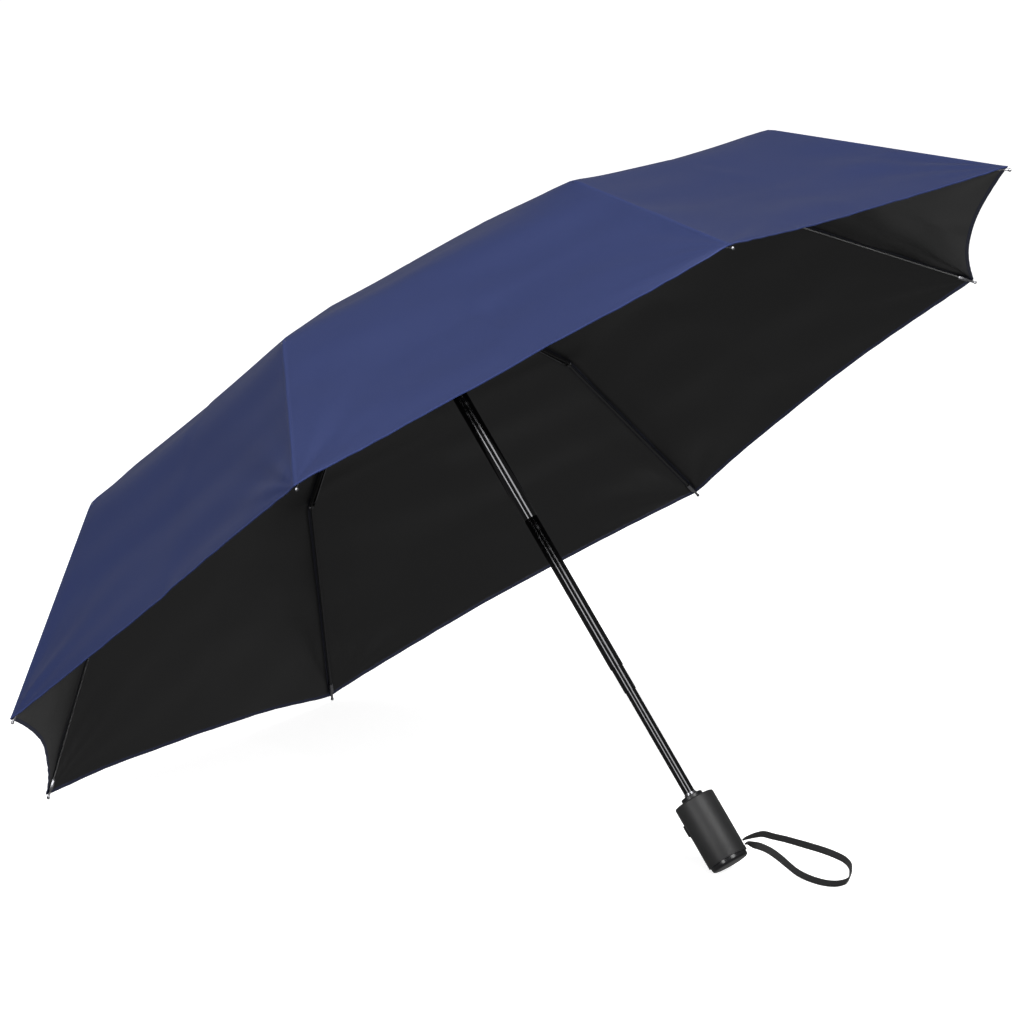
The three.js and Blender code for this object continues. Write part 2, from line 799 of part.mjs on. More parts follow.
// The button slides towards the shaft. Its outer face is crowned, and a flange keeps it in the shell.
function pushButton() {
  const crown = 0.8;
  const face = handleRadius + buttonProud;
  const halfLength = buttonLength / 2;
  const halfWidth = buttonWidth / 2;
  const outline = polygonShape([
    [-halfWidth, buttonBack],
    [halfWidth, buttonBack],
    [halfWidth, face - crown - 0.6],
    [halfWidth - 1.2, face - 0.3],
    [0, face],
    [-halfWidth + 1.2, face - 0.3],
    [-halfWidth, face - crown - 0.6],
  ]);
  const stem = new THREE.ExtrudeGeometry(outline, {
    depth: buttonLength - 2 * crown,
    bevelEnabled: true,
    bevelThickness: crown,
    bevelSize: crown,
    bevelOffset: -crown,
    bevelSegments: 2,
  });
  const axes = new THREE.Matrix4().makeBasis(
    new THREE.Vector3(0, 1, 0),
    new THREE.Vector3(1, 0, 0),
    new THREE.Vector3(0, 0, -1),
  );
  stem.applyMatrix4(axes).translate(0, 0, halfLength - crown);
  const flange = block(
    buttonBack,
    buttonBack + buttonFlangeThickness,
    -halfWidth - buttonFlange,
    halfWidth + buttonFlange,
    -halfLength - buttonFlange,
    halfLength + buttonFlange,
  );
  const body = join(stem, flange).rotateZ(radians(buttonAzimuth)).translate(0, 0, buttonZ);
  return piece("push_button", body, blackPlastic);
}

function buttonSpring() {
  const bottom = pocketFloor + clearance + buttonSpringWire;
  const top = buttonBack - clearance - buttonSpringWire;
  const coil = spring(buttonSpringRadius, buttonSpringWire, bottom, top, buttonSpringTurns);
  coil.rotateY(Math.PI / 2).rotateZ(radians(buttonAzimuth)).translate(0, 0, buttonZ);
  return piece("button_spring", coil, springSteel);
}

// A sprung plate below the button, which the button pushes inwards to let the runner go.
function releaseLatch() {
  const top = buttonZ - buttonLength / 2 - buttonFlange - clearance;
  const plate = handleBlock(
    buttonAzimuth,
    buttonBack + latchThickness / 2,
    buttonBack + 1.5 * latchThickness,
    latchWidth,
    top - latchLength,
    top,
  );
  const hook = handleBlock(
    buttonAzimuth,
    buttonBack,
    buttonBack + latchThickness,
    latchWidth,
    top - latchLength,
    top - latchLength + 2,
  );
  return piece("release_latch", join(plate, hook), springSteel);
}

function strapPin() {
  return piece("strap_pin", strapPinBar(strapPinRadius, strapPinLength), brightSteel);
}

// ---------------------------------------------------------------- canopy

const hemAlong = tailRibLength - hemToTip;

// Places on the inside of the cloth over a rib, as [radius, z], from the crown to the hem, with the cloth's
// outward direction there and how far it falls in between ribs.
const clothRows = (() => {
  const crownEdge = [capRadius, canopyCrownZ];
  const elbowTop = placed(elbowPivot, topRibSlope, [0, knuckleRadius + 0.7]);
  const tailTop = placed(tailPivot, midRibSlope, [tailEyeRadius, tailPinBelowWeb + 1.2]);
  const hem = placed(tailPivot, tailRibSlope, [hemAlong, tipSleeveRadius + 0.4]);
  const between = (a, b, t) => [0, 1].map((k) => THREE.MathUtils.lerp(a[k], b[k], t));
  const facing = (slope) => [Math.sin(radians(slope)), Math.cos(radians(slope))];
  const tailFacing = facing(tailRibSlope);
  return [
    { at: [canopyHole, canopyCrownZ], out: facing(0), sag: 0 },
    { at: crownEdge, out: facing(topRibSlope / 2), sag: 0 },
    { at: between(crownEdge, elbowTop, 0.5), out: facing(topRibSlope), sag: sagAtElbow / 2 },
    { at: elbowTop, out: facing(topRibSlope), sag: sagAtElbow },
    { at: between(elbowTop, tailTop, 0.5), out: facing(midRibSlope), sag: sagAtTail * 0.75 },
    { at: tailTop, out: facing((midRibSlope + tailRibSlope) / 2), sag: sagAtTail },
    { at: between(tailTop, hem, 0.33), out: tailFacing, sag: sagAlongTail },
    { at: between(tailTop, hem, 0.67), out: tailFacing, sag: sagAlongTail },
    { at: hem, out: tailFacing, inset: hemInset },
  ];
})();

// One point of the cloth: a row, a gore, a share of the way across the gore, and a height above the inside.
function clothPoint(row, gore, share, height) {
  const corners = [gore, gore + 1].map((number) => {
    const azimuth = ribAzimuth(number);
    return new THREE.Vector3(row.at[0] * Math.cos(azimuth), row.at[0] * Math.sin(azimuth), row.at[1]);
  });
  const point = corners[0].lerp(corners[1], share);
  const azimuth = THREE.MathUtils.lerp(ribAzimuth(gore), ribAzimuth(gore + 1), share);
  const bow = 4 * share * (1 - share);
  const inwards = (row.sag ?? 0) * bow - height;
  const radial = -row.out[0] * inwards - (row.inset ?? 0) * bow;
  point.x += radial * Math.cos(azimuth);
  point.y += radial * Math.sin(azimuth);
  point.z -= row.out[1] * inwards;
  return point;
}

function canopy() {
  const columns = ribCount * goreDivisions;
  const rows = clothRows.length;
  const positions = [];
  const faces = [];
  for (const height of [0, canopyThickness]) {
    for (const row of clothRows) {
      for (let column = 0; column < columns; column += 1) {
        const gore = Math.floor(column / goreDivisions);
        const share = (column % goreDivisions) / goreDivisions;
        positions.push(...clothPoint(row, gore, share, height).toArray());
      }
    }
  }
  const index = (layer, row, column) => (layer * rows + row) * columns + (column % columns);
  const quad = (a, b, c, d) => faces.push(a, b, c, a, c, d);
  for (let column = 0; column < columns; column += 1) {
    const next = column + 1;
    for (let row = 0; row + 1 < rows; row += 1) {
      quad(index(0, row, column), index(0, row, next), index(0, row + 1, next), index(0, row + 1, column));
      quad(index(1, row, column), index(1, row + 1, column), index(1, row + 1, next), index(1, row, next));
    }
    const last = rows - 1;
    quad(index(0, 0, column), index(1, 0, column), index(1, 0, next), index(0, 0, next));
    quad(index(0, last, column), index(0, last, next), index(1, last, next), index(1, last, column));
  }
  const geometry = new THREE.BufferGeometry();
  geometry.setAttribute("position", new THREE.Float32BufferAttribute(positions, 3));
  geometry.setIndex(faces);
  geometry.computeVertexNormals();
  return piece("canopy", geometry, navyCloth);
}

// ---------------------------------------------------------------- the umbrella, laid down

const umbrella = new THREE.Group();
umbrella.add(
  handleShell(),
  handleEndCap(),
  handleCollar(),
  handleCore(),
  pushButton(),
  buttonSpring(),
  releaseLatch(),
  strapPin(),
  lowerTube(),
  thirdTube(),
  secondTube(),
  topTube(),
  shaftSpring(),
  crownHub(),
  crownWire(),
  crownStud(),
  topCap(),
  runner(),
  canopy(),
);
for (let number = 1; number <= ribCount; number += 1) umbrella.add(ribSet(number));

// It rests on the beads of the two tips nearest +X and on the handle's bottom edge: a line that touches
// both circles from below gives its lean.
function restingLean() {
  const tipRun = tipPoint[0] * Math.cos(ribAzimuth(1)) - (endCapRadius - endCapFillet);
  const tipRise = tipPoint[1] - (endCapBottom + endCapFillet);
  const reach = Math.hypot(tipRun, tipRise);
  return Math.atan2(tipRise, tipRun) - Math.asin((tipBeadRadius - endCapFillet) / reach);
}

umbrella.rotation.y = restingLean();
umbrella.updateMatrixWorld(true);
const footprint = new THREE.Box3().setFromObject(umbrella, true);
umbrella.position.set(
  -(footprint.min.x + footprint.max.x) / 2,
  -(footprint.min.y + footprint.max.y) / 2,
  -footprint.min.z,
);
umbrella.updateMatrixWorld(true);

// ---------------------------------------------------------------- wrist strap

// The strap lies where it fell: out of the slot, round a loop that comes down to the floor, and back.
// Each point is [x, y] from the slot's mouth, and z above the floor.
const strapRoute = [
  [-6, -6.5, 31],
  [-10, -12.5, 31.5],
  [-15, -20, 28.5],
  [-21, -29, 25],
  [-27.5, -39, 20.5],
  [-32, -49.5, 15.8],
  [-38.5, -58.5, 11.4],
  [-45.5, -64.5, 7.6],
  [-54, -65.5, 5],
  [-63, -60, 3.6],
  [-72, -48.5, 3.4],
  [-80, -35.5, 3.4],
  [-84.8, -23, 3.4],
  [-82, -14, 3.4],
  [-74.5, -10.2, 3.4],
  [-63.5, -10.5, 3.4],
  [-51, -13.5, 3.6],
  [-40, -17, 4.6],
  [-29, -20.5, 7.4],
  [-20.5, -20.5, 11.8],
  [-13.5, -17.5, 16.6],
  [-9.5, -12, 20.4],
  [-6, -6.5, 23],
];

function wristStrap() {
  const azimuth = radians(strapAzimuth);
  const outward = new THREE.Vector3(Math.cos(azimuth), Math.sin(azimuth), 0);
  const upShaft = new THREE.Vector3(0, 0, 1);
  const mouth = outward.clone().multiplyScalar(handleRadius + clearance).setZ(strapZ);
  const toFloor = umbrella.matrixWorld;
  const exits = [0.5, -0.5].map((side) =>
    mouth.clone().addScaledVector(upShaft, side * strapEndSpacing).applyMatrix4(toFloor),
  );
  const centre = mouth.clone().applyMatrix4(toFloor);
  const route = strapRoute.map(([x, y, z]) => new THREE.Vector3(centre.x + x, centre.y + y, z));
  const lead = outward.clone().transformDirection(toFloor).multiplyScalar(2.5);
  const path = new THREE.CatmullRomCurve3(
    [exits[0], exits[0].clone().add(lead), ...route, exits[1].clone().add(lead), exits[1]],
    false,
    "centripetal",
  );
  return piece("wrist_strap", wireAlong(path, strapTubeRadius, 8, 46), blackWebbing);
}

const foldingUmbrella = new THREE.Group();
foldingUmbrella.add(umbrella, wristStrap());

export default foldingUmbrella;
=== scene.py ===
import json
import math

import bpy
import numpy as np
from mathutils import Matrix, Vector


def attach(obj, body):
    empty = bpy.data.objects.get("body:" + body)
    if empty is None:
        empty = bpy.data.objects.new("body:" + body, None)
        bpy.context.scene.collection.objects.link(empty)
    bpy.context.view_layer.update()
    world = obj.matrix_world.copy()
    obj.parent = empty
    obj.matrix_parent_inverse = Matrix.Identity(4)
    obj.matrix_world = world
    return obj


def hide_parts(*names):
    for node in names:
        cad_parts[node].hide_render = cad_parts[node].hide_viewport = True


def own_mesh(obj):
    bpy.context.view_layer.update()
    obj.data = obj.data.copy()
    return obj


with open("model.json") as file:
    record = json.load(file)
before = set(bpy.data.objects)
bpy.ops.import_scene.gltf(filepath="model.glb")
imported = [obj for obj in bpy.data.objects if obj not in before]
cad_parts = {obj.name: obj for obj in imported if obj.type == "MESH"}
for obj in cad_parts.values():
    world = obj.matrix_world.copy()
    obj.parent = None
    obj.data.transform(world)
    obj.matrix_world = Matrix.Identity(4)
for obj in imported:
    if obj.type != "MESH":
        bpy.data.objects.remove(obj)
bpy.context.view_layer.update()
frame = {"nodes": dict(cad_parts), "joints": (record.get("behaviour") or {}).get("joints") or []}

bl_info = {
    "name": "Folding umbrella",
    "version": (1, 0, 0),
    "blender": (4, 5, 0),
    "location": "3D View > Sidebar > Umbrella",
    "description": "Builds a three-fold umbrella's cloth, ribs, shaft, handle and wrist strap",
    "category": "Object",
}

RIBS = 8
MM = 0.001

# ---------------------------------------------------------------- the frame's own places

joints = {joint["name"]: joint for joint in frame["joints"]}


def crown_hinge(number):
    """The joint that a rib turns on at the crown. The first one leads the others."""
    return joints["canopy_fold" if number == 1 else f"crown_hinge_{number}"]


def pivot(name, number):
    return Vector(joints[f"{name}_{number}"]["pos_m"])


crown_pivots = [Vector(crown_hinge(number)["pos_m"]) for number in range(1, RIBS + 1)]
CROWN = sum(crown_pivots, Vector()) / RIBS
UP = -Vector(joints["shaft_upper_slide"]["axis"]).normalized()
OUT = ((crown_pivots[0] + crown_pivots[-1]) / 2 - CROWN).normalized()
ROUND = UP.cross(OUT)
UP_AXIS = Vector((0, 0, 1))
OWN = Matrix.Translation(CROWN) @ Matrix((OUT, ROUND, UP)).transposed().to_4x4()
TO_OWN = OWN.inverted()


def rib_azimuth(number):
    return 2 * math.pi * (number - 0.5) / RIBS


def to_row(points):
    """Points of the umbrella's own frame, an array whose last side is 3 long, in the row frame."""
    matrix = np.array(OWN)
    return np.asarray(points) @ matrix[:3, :3].T + matrix[:3, 3]


def in_own(point):
    return TO_OWN @ Vector(point)


def own_vertices(node):
    """A CAD node's vertices in the umbrella's own frame."""
    mesh = frame["nodes"][node].data
    places = np.empty(len(mesh.vertices) * 3)
    mesh.vertices.foreach_get("co", places)
    matrix = np.array(TO_OWN)
    return places.reshape(-1, 3) @ matrix[:3, :3].T + matrix[:3, 3]


def in_rib_plane(point):
    """A point's distance from the shaft and its height, which is its place in its rib's plane."""
    own = in_own(point)
    return Vector((math.hypot(own.x, own.y), own.z))


def reach(node):
    """How far a node's outside is from the shaft."""
    places = own_vertices(node)
    return float(np.hypot(places[:, 0], places[:, 1]).max())


# ---------------------------------------------------------------- settings


def length(name, description, default):
    return bpy.props.FloatProperty(
        name=name, description=description, default=default, min=0, unit="LENGTH", precision=5
    )


def colour(name, description, default):
    return bpy.props.FloatVectorProperty(
        name=name, description=description, default=default, size=3, min=0, max=1, subtype="COLOR"
    )


def angle(name, description, default):
    return bpy.props.FloatProperty(
        name=name, description=description, default=math.radians(default), unit="ROTATION"
    )


def power(name, description, default):
    return bpy.props.FloatProperty(
        name=name, description=description, default=default, min=0, unit="POWER"
    )


class CanopySettings(bpy.types.PropertyGroup):
    outside: colour("Outside", "Colour of the cloth's outside", (0.0135, 0.021, 0.072))
    lining: colour("Lining", "Colour of the cloth's coated inside", (0.003, 0.003, 0.0033))
    thickness: length("Thickness", "Thickness of the cloth", 0.35 * MM)
    over_elbow: length("Over the elbow", "Height of the cloth over the elbow pins", 2.3 * MM)
    over_tail: length("Over the tail", "Height of the cloth over the tail rods", 2.5 * MM)
    over_tail_pin: length("Over the tail pin", "Height of the cloth over the tail pins", 3.5 * MM)
    hem_to_tip: length("Hem to tip", "From a tip's bead back to the hem", 4 * MM)
    elbow_round: length("Elbow round", "How softly the cloth bends over a rib's elbows", 3 * MM)
    gore_round: length("Gore round", "How softly the cloth bends midway between ribs", 26 * MM)
    sag: length("Sag", "How far the tail of a gore falls in midway between ribs", 9 * MM)
    hem_inset: length("Hem inset", "How far the hem curves in midway between tips", 14 * MM)
    wrinkle: length("Wrinkle", "Height of the creases that spread from the tips", 2.3 * MM)
    seam: length("Seam", "Width of the sewn seam along each rib", 4.4 * MM)
    hem: length("Hem", "Width of the turned hem", 6 * MM)


class RibSettings(bpy.types.PropertyGroup):
    rivet: length("Rivet", "Radius of a rivet's head", 1.15 * MM)
    rivet_height: length("Rivet height", "How far a rivet's head stands out", 0.7 * MM)
    wire: length("Wire", "Thickness of the draw wire along each mid rib", 0.9 * MM)
    wire_start: length("Wire start", "From an elbow pin to the wire", 5 * MM)
    wire_end: length("Wire end", "From the wire to a tail pin", 5 * MM)
    wire_drop: length("Wire drop", "How far the wire hangs below the pins", 2.8 * MM)
    wire_aside: length("Wire aside", "How far the wire is to one side of the rib", 0.0)
    steel: colour("Steel", "Colour of the rivets, wires and tips", (0.34, 0.34, 0.36))
    paint: colour("Paint", "Colour of the ribs", (0.012, 0.012, 0.013))


class ShaftSettings(bpy.types.PropertyGroup):
    enamel: colour("Enamel", "Colour of the tubes", (0.05, 0.05, 0.052))
    plastic: colour("Plastic", "Colour of the runner and the crown", (0.011, 0.011, 0.012))
    edge: length("Edge", "Softness of the moulded edges", 0.25 * MM)
    spring_wire: length("Spring wire", "Thickness of the shaft spring's wire", 1.1 * MM)
    spring_steel: colour("Spring steel", "Colour of the springs and hidden steel", (0.42, 0.42, 0.44))
    spring_turns: bpy.props.IntProperty(
        name="Spring turns", description="Turns of the shaft spring", default=26, min=4
    )


class HandleSettings(bpy.types.PropertyGroup):
    grip: colour("Grip", "Colour of the handle's shell", (0.009, 0.009, 0.0095))
    cap: colour("Cap", "Colour of the end cap, the collar and the button", (0.008, 0.008, 0.009))
    bevel: length("Bevel", "Softness of the moulded edges", 0.3 * MM)
    seat_wall: length("Seat wall", "Wall of the bright sleeve round the lowest tube", 0.5 * MM)
    seat_height: length("Seat height", "How far the bright sleeve stands above the collar", 2.2 * MM)
    button_wire: length("Button wire", "Thickness of the button spring's wire", 0.5 * MM)


class StrapSettings(bpy.types.PropertyGroup):
    webbing: colour("Webbing", "Colour of the wrist strap", (0.0035, 0.0035, 0.004))
    width: length("Width", "Width of the flat strap", 6 * MM)
    thickness: length("Thickness", "Thickness of the flat strap", 1.3 * MM)
    slot_azimuth: angle("Slot azimuth", "Where the strap's slot is, round the handle", 220)
    slot_above_bottom: length("Slot above bottom", "The slot's height above the shell's end", 5.5 * MM)
    slot_reach: length("Slot reach", "The slot's mouth from the shaft", 17.8 * MM)
    strand_gap: length("Strand gap", "Between the strap's two ends in the slot", 4 * MM)
    twist: bpy.props.FloatProperty(
        name="Twist",
        description="Share of the strap over which it turns on edge",
        default=0.13,
        min=0.01,
        max=0.5,
    )
    lean: bpy.props.FloatProperty(
        name="Lean", description="How far the strap leans over as it lies", default=0.35, min=0, max=1
    )


class StageSettings(bpy.types.PropertyGroup):
    floor: colour("Floor", "Colour of the floor", (0.8, 0.8, 0.8))
    glow: bpy.props.FloatProperty(name="Glow", description="Light that the floor gives", default=0.8, min=0)
    bearing: angle("Bearing", "The camera's bearing from the target, from +X towards +Y", 127.99)
    elevation: angle("Elevation", "The camera's height above the target", 14.61)
    distance: length("Distance", "From the camera to its target", 5.03)
    lens: bpy.props.FloatProperty(name="Lens", description="Focal length", default=215.5, unit="CAMERA")
    room: bpy.props.FloatProperty(name="Room", description="Light of the room itself", default=0.16, min=0)
    overhead_power: power("Overhead", "Power of the top light", 75)
    near_power: power("Near softbox", "Power of the near softbox", 50)
    far_power: power("Far softbox", "Power of the far softbox", 40)
    near_width: length("Near width", "Width of the near softbox", 0.8)
    far_width: length("Far width", "Width of the far softbox", 0.55)
    softbox_height: length("Softbox height", "Length of both softboxes, along the shaft", 2.6)
    softbox_distance: length("Softbox distance", "From the part's middle to a softbox", 2.2)
    overhead_side: length("Overhead side", "Side of the square top light", 2.4)
    near_turn: angle("Near turn", "Where the near softbox stands, round the shaft from the camera", 34)
    far_turn: angle("Far turn", "Where the far softbox stands, round the shaft from the camera", -30)


# ---------------------------------------------------------------- finishes


class Value:
    """A number that varies over a surface. Sums of values add their own nodes."""

    def __init__(self, finish, socket):
        self.finish = finish
        self.socket = socket

    def math(self, operation, *others):
        inputs = dict(enumerate((self, *others)))
        return self.finish.node("ShaderNodeMath", {"operation": operation}, inputs).out(0)

    def flipped(self, operation, other):
        inputs = {0: other, 1: self}
        return self.finish.node("ShaderNodeMath", {"operation": operation}, inputs).out(0)

    def __add__(self, other):
        return self.math("ADD", other)

    def __radd__(self, other):
        return self.math("ADD", other)

    def __sub__(self, other):
        return self.math("SUBTRACT", other)

    def __rsub__(self, other):
        return self.flipped("SUBTRACT", other)

    def __mul__(self, other):
        return self.math("MULTIPLY", other)

    def __rmul__(self, other):
        return self.math("MULTIPLY", other)

    def __truediv__(self, other):
        return self.math("DIVIDE", other)

    def __abs__(self):
        return self.math("ABSOLUTE")

    def below(self, limit):
        return self.math("LESS_THAN", limit)

    def sine(self):
        return self.math("SINE")

    def smooth(self, start, end):
        """0 up to start, 1 from end, with a soft step between."""
        settings = {"interpolation_type": "SMOOTHSTEP"}
        inputs = {"Value": self, "From Min": start, "From Max": end}
        return self.finish.node("ShaderNodeMapRange", settings, inputs).out("Result")


class Made:
    """A node that has been made, for its outputs."""

    def __init__(self, finish, node):
        self.finish = finish
        self.node = node

    def out(self, name):
        return Value(self.finish, self.node.outputs[name])


class NodeTree:
    """A tree of nodes being made, for a material or for a Geometry Nodes modifier."""

    def __init__(self, tree):
        self.tree = tree

    def node(self, kind, settings, sockets):
        """Makes a node: its settings first, then its sockets' values or links."""
        node = self.tree.nodes.new(kind)
        for name, value in settings.items():
            if name == "stops":
                self.set_stops(node.color_ramp, value)
            else:
                setattr(node, name, value)
        for name, value in sockets.items():
            if isinstance(value, Value):
                self.tree.links.new(value.socket, node.inputs[name])
            else:
                node.inputs[name].default_value = value
        return Made(self, node)

    @staticmethod
    def set_stops(ramp, stops):
        for place, shade in stops[len(ramp.elements) :]:
            ramp.elements.new(place)
        for element, (place, shade) in zip(ramp.elements, stops):
            element.position = place
            element.color = (*shade, 1)


class Finish(NodeTree):
    """A material being made, around one Principled shader."""

    def __init__(self, name, base, roughness, constants=None):
        self.material = bpy.data.materials.new(name)
        self.material.use_nodes = True
        super().__init__(self.material.node_tree)
        self.tree.nodes.clear()
        sockets = {"Base Color": (*base, 1), "Roughness": roughness}
        sockets.update(constants or {})
        self.shader = self.node("ShaderNodeBsdfPrincipled", {}, sockets).node
        surface = Value(self, self.shader.outputs["BSDF"])
        self.node("ShaderNodeOutputMaterial", {}, {"Surface": surface})

    def feed(self, name, value):
        self.tree.links.new(value.socket, self.shader.inputs[name])

    def places(self, stretch=(1, 1, 1)):
        """Object coordinates, stretched."""
        places = self.node("ShaderNodeTexCoord", {}, {}).out("Object")
        return self.node("ShaderNodeMapping", {}, {"Vector": places, "Scale": stretch}).out(0)

    def attribute(self, name):
        return self.node("ShaderNodeAttribute", {"attribute_name": name}, {}).out("Fac")

    def noise(self, scale, detail=3, stretch=(1, 1, 1), vector=None):
        sockets = {"Vector": vector or self.places(stretch), "Scale": scale, "Detail": detail}
        return self.node("ShaderNodeTexNoise", {}, sockets).out("Fac")

    def vector(self, x, y, z=0):
        return self.node("ShaderNodeCombineXYZ", {}, {"X": x, "Y": y, "Z": z}).out(0)

    def mix(self, share, first, second):
        """A colour between two others, which are triples or values."""
        shades = [c if isinstance(c, Value) else (*c, 1) for c in (first, second)]
        settings = {"data_type": "RGBA"}
        sockets = {0: share, 6: shades[0], 7: shades[1]}
        return self.node("ShaderNodeMix", settings, sockets).out(2)

    def bump(self, height, distance, strength=1):
        sockets = {"Height": height, "Distance": distance, "Strength": strength}
        normal = self.node("ShaderNodeBump", {}, sockets).out("Normal")
        self.feed("Normal", normal)


def lighter(shade, amount):
    return tuple(min(1, part * amount) for part in shade)


def cloth_outside(look):
    """Satin polyester: a fine weave, a raised seam along each rib and a turned, stitched hem, with a
    painted highlight along each seam and along the hem's folded edge.
    """
    shade = tuple(look.outside)
    satin = {"Sheen Weight": 0.04, "Sheen Roughness": 0.4, "Specular IOR Level": 0.2}
    finish = Finish("navy_cloth_outside", shade, 0.55, satin)
    across = finish.attribute("across")
    along = finish.attribute("along")
    from_hem = finish.attribute("from_hem")
    half_seam = look.seam / 2
    seam = 1 - abs(across).smooth(half_seam * 0.8, half_seam * 1.15)
    stitch_lines = (abs(abs(across) - half_seam * 0.72)).smooth(0.15 * MM, 0.4 * MM)
    dashes = (along * (2 * math.pi / (2.6 * MM))).sine().smooth(-0.4, 0.4)
    stitches = (1 - stitch_lines) * dashes
    # Painted highlight: a thin lighter line along the hem's folded edge, where its thickness catches light.
    hem_edge_highlight = 1 - from_hem.smooth(0.5 * MM, 1.6 * MM)
    hem_fold = 1 - from_hem.smooth(look.hem * 0.93, look.hem)
    cloud = finish.noise(6, 2)
    mottled = finish.mix(cloud, lighter(shade, 0.93), lighter(shade, 1.08))
    # Painted highlight: the band over each raised seam is painted lighter, as where the ridge over the rib
    # catches light.
    sewn = finish.mix(seam * 0.45, mottled, lighter(shade, 1.35))
    stitched = finish.mix(stitches * seam * 0.5, sewn, lighter(shade, 0.7))
    # The hem's folded edge is painted lighter here, a painted highlight.
    finish.feed("Base Color", finish.mix(hem_edge_highlight * 0.8, stitched, lighter(shade, 1.7)))
    finish.feed("Roughness", 0.5 + 0.1 * cloud)
    threads = 2 * math.pi / (0.45 * MM)
    weave = (across * threads).sine() * (along * threads).sine()
    slubs = finish.noise(240, 2, vector=finish.vector(across, along * 0.2))
    relief = weave * 0.12 + slubs * 0.25 + seam * 1.2 - stitches * 0.5 + hem_fold * 0.7
    finish.bump(relief, 0.25 * MM, 0.7)
    return finish.material


def cloth_lining(look):
    """The cloth's black coated inside, half gloss, with the navy cloth turned over at its edges."""
    shade = tuple(look.lining)
    finish = Finish("black_lining", shade, 0.4, {"Specular IOR Level": 0.8})
    across = finish.attribute("across")
    along = finish.attribute("along")
    from_hem = finish.attribute("from_hem")
    turned = 1 - from_hem.smooth(look.hem * 0.52, look.hem * 0.56)
    allowance = abs(across).below(look.seam * 0.62) * (1 - turned)
    navy = tuple(look.outside)
    cloud = finish.noise(9, 2)
    coat = finish.mix(cloud, lighter(shade, 0.85), lighter(shade, 1.2))
    edged = finish.mix(allowance * 0.6, coat, lighter(navy, 0.35))
    finish.feed("Base Color", finish.mix(turned * 0.85, edged, lighter(navy, 0.8)))
    finish.feed("Roughness", 0.36 + 0.08 * cloud + 0.2 * (turned + allowance))
    threads = 2 * math.pi / (0.6 * MM)
    weave = (across * threads).sine() * (along * threads).sine()
    edges = (1 - abs(across).smooth(look.seam * 0.55, look.seam * 0.68)) + turned
    finish.bump(weave * 0.05 + edges + finish.noise(120, 2) * 0.12, 0.3 * MM, 0.6)
    return finish.material


def painted_steel(look):
    """Black paint on folded steel, a little rubbed, with long fine draw marks."""
    coat = {"Metallic": 0.0, "Coat Weight": 0.35, "Coat Roughness": 0.2}
    finish = Finish("rib_paint", tuple(look.paint), 0.3, coat)
    wear = finish.noise(900, 4).smooth(0.62, 0.78)
    cloud = finish.noise(60, 2)
    finish.feed("Base Color", finish.mix(wear * 0.35, tuple(look.paint), (0.09, 0.09, 0.095)))
    finish.feed("Roughness", 0.24 + 0.2 * cloud)
    finish.bump(finish.noise(1500, 2), 0.05 * MM, 0.4)
    return finish.material


def bright_steel(look):
    """Plated steel, with fine scratches."""
    finish = Finish("plated_steel", tuple(look.steel), 0.25, {"Metallic": 1.0})
    scratches = finish.noise(1400, 3, stretch=(1, 1, 0.15))
    finish.feed("Roughness", 0.18 + 0.22 * scratches)
    finish.feed("Base Color", finish.mix(scratches, lighter(look.steel, 0.8), lighter(look.steel, 1.1)))
    finish.bump(scratches, 0.03 * MM, 0.3)
    return finish.material


def tube_enamel(look):
    """Gloss black nickel on the tubes, with faint rubbing where they slide."""
    finish = Finish("tube_enamel", tuple(look.enamel), 0.14, {"Metallic": 1.0})
    rub = finish.noise(220, 3).smooth(0.5, 0.8)
    finish.feed("Base Color", finish.mix(rub * 0.3, tuple(look.enamel), lighter(look.enamel, 1.3)))
    finish.feed("Roughness", 0.12 + 0.12 * rub)
    finish.bump(finish.noise(500, 2), 0.02 * MM, 0.25)
    return finish.material


def moulded_plastic(name, shade, roughness, grain):
    """Moulded black plastic with a fine spark-eroded grain."""
    finish = Finish(name, shade, roughness, {"Specular IOR Level": 0.45})
    fine = finish.noise(2600, 3)
    broad = finish.noise(70, 3)
    finish.feed("Base Color", finish.mix(broad, lighter(shade, 0.85), lighter(shade, 1.25)))
    finish.feed("Roughness", roughness - 0.06 + 0.12 * broad)
    finish.bump(fine, grain, 0.5)
    return finish.material


def spring_steel(look):
    """Grey drawn steel, with fine marks."""
    finish = Finish("spring_steel", tuple(look.spring_steel), 0.35, {"Metallic": 1.0})
    marks = finish.noise(1200, 3)
    dark, bright = lighter(look.spring_steel, 0.75), lighter(look.spring_steel, 1.15)
    finish.feed("Base Color", finish.mix(marks, dark, bright))
    finish.feed("Roughness", 0.28 + 0.2 * marks)
    finish.bump(marks, 0.03 * MM, 0.3)
    return finish.material


def soft_grip(look):
    """Matte, rubbery paint over the handle's shell, with a fine grain and a few rubbed patches."""
    shade = tuple(look.grip)
    finish = Finish(
        "soft_grip", shade, 0.5, {"Specular IOR Level": 0.4, "Sheen Weight": 0.08, "Sheen Roughness": 0.5}
    )
    broad = finish.noise(45, 3)
    rubbed = finish.noise(160, 4).smooth(0.55, 0.75)
    dusty = finish.mix(broad, lighter(shade, 0.8), lighter(shade, 1.3))
    finish.feed("Base Color", finish.mix(rubbed * 0.3, dusty, lighter(shade, 2.2)))
    finish.feed("Roughness", 0.46 + 0.12 * broad - 0.06 * rubbed)
    finish.bump(finish.noise(2200, 3) + 0.3 * finish.noise(500, 2), 0.06 * MM, 0.5)
    return finish.material


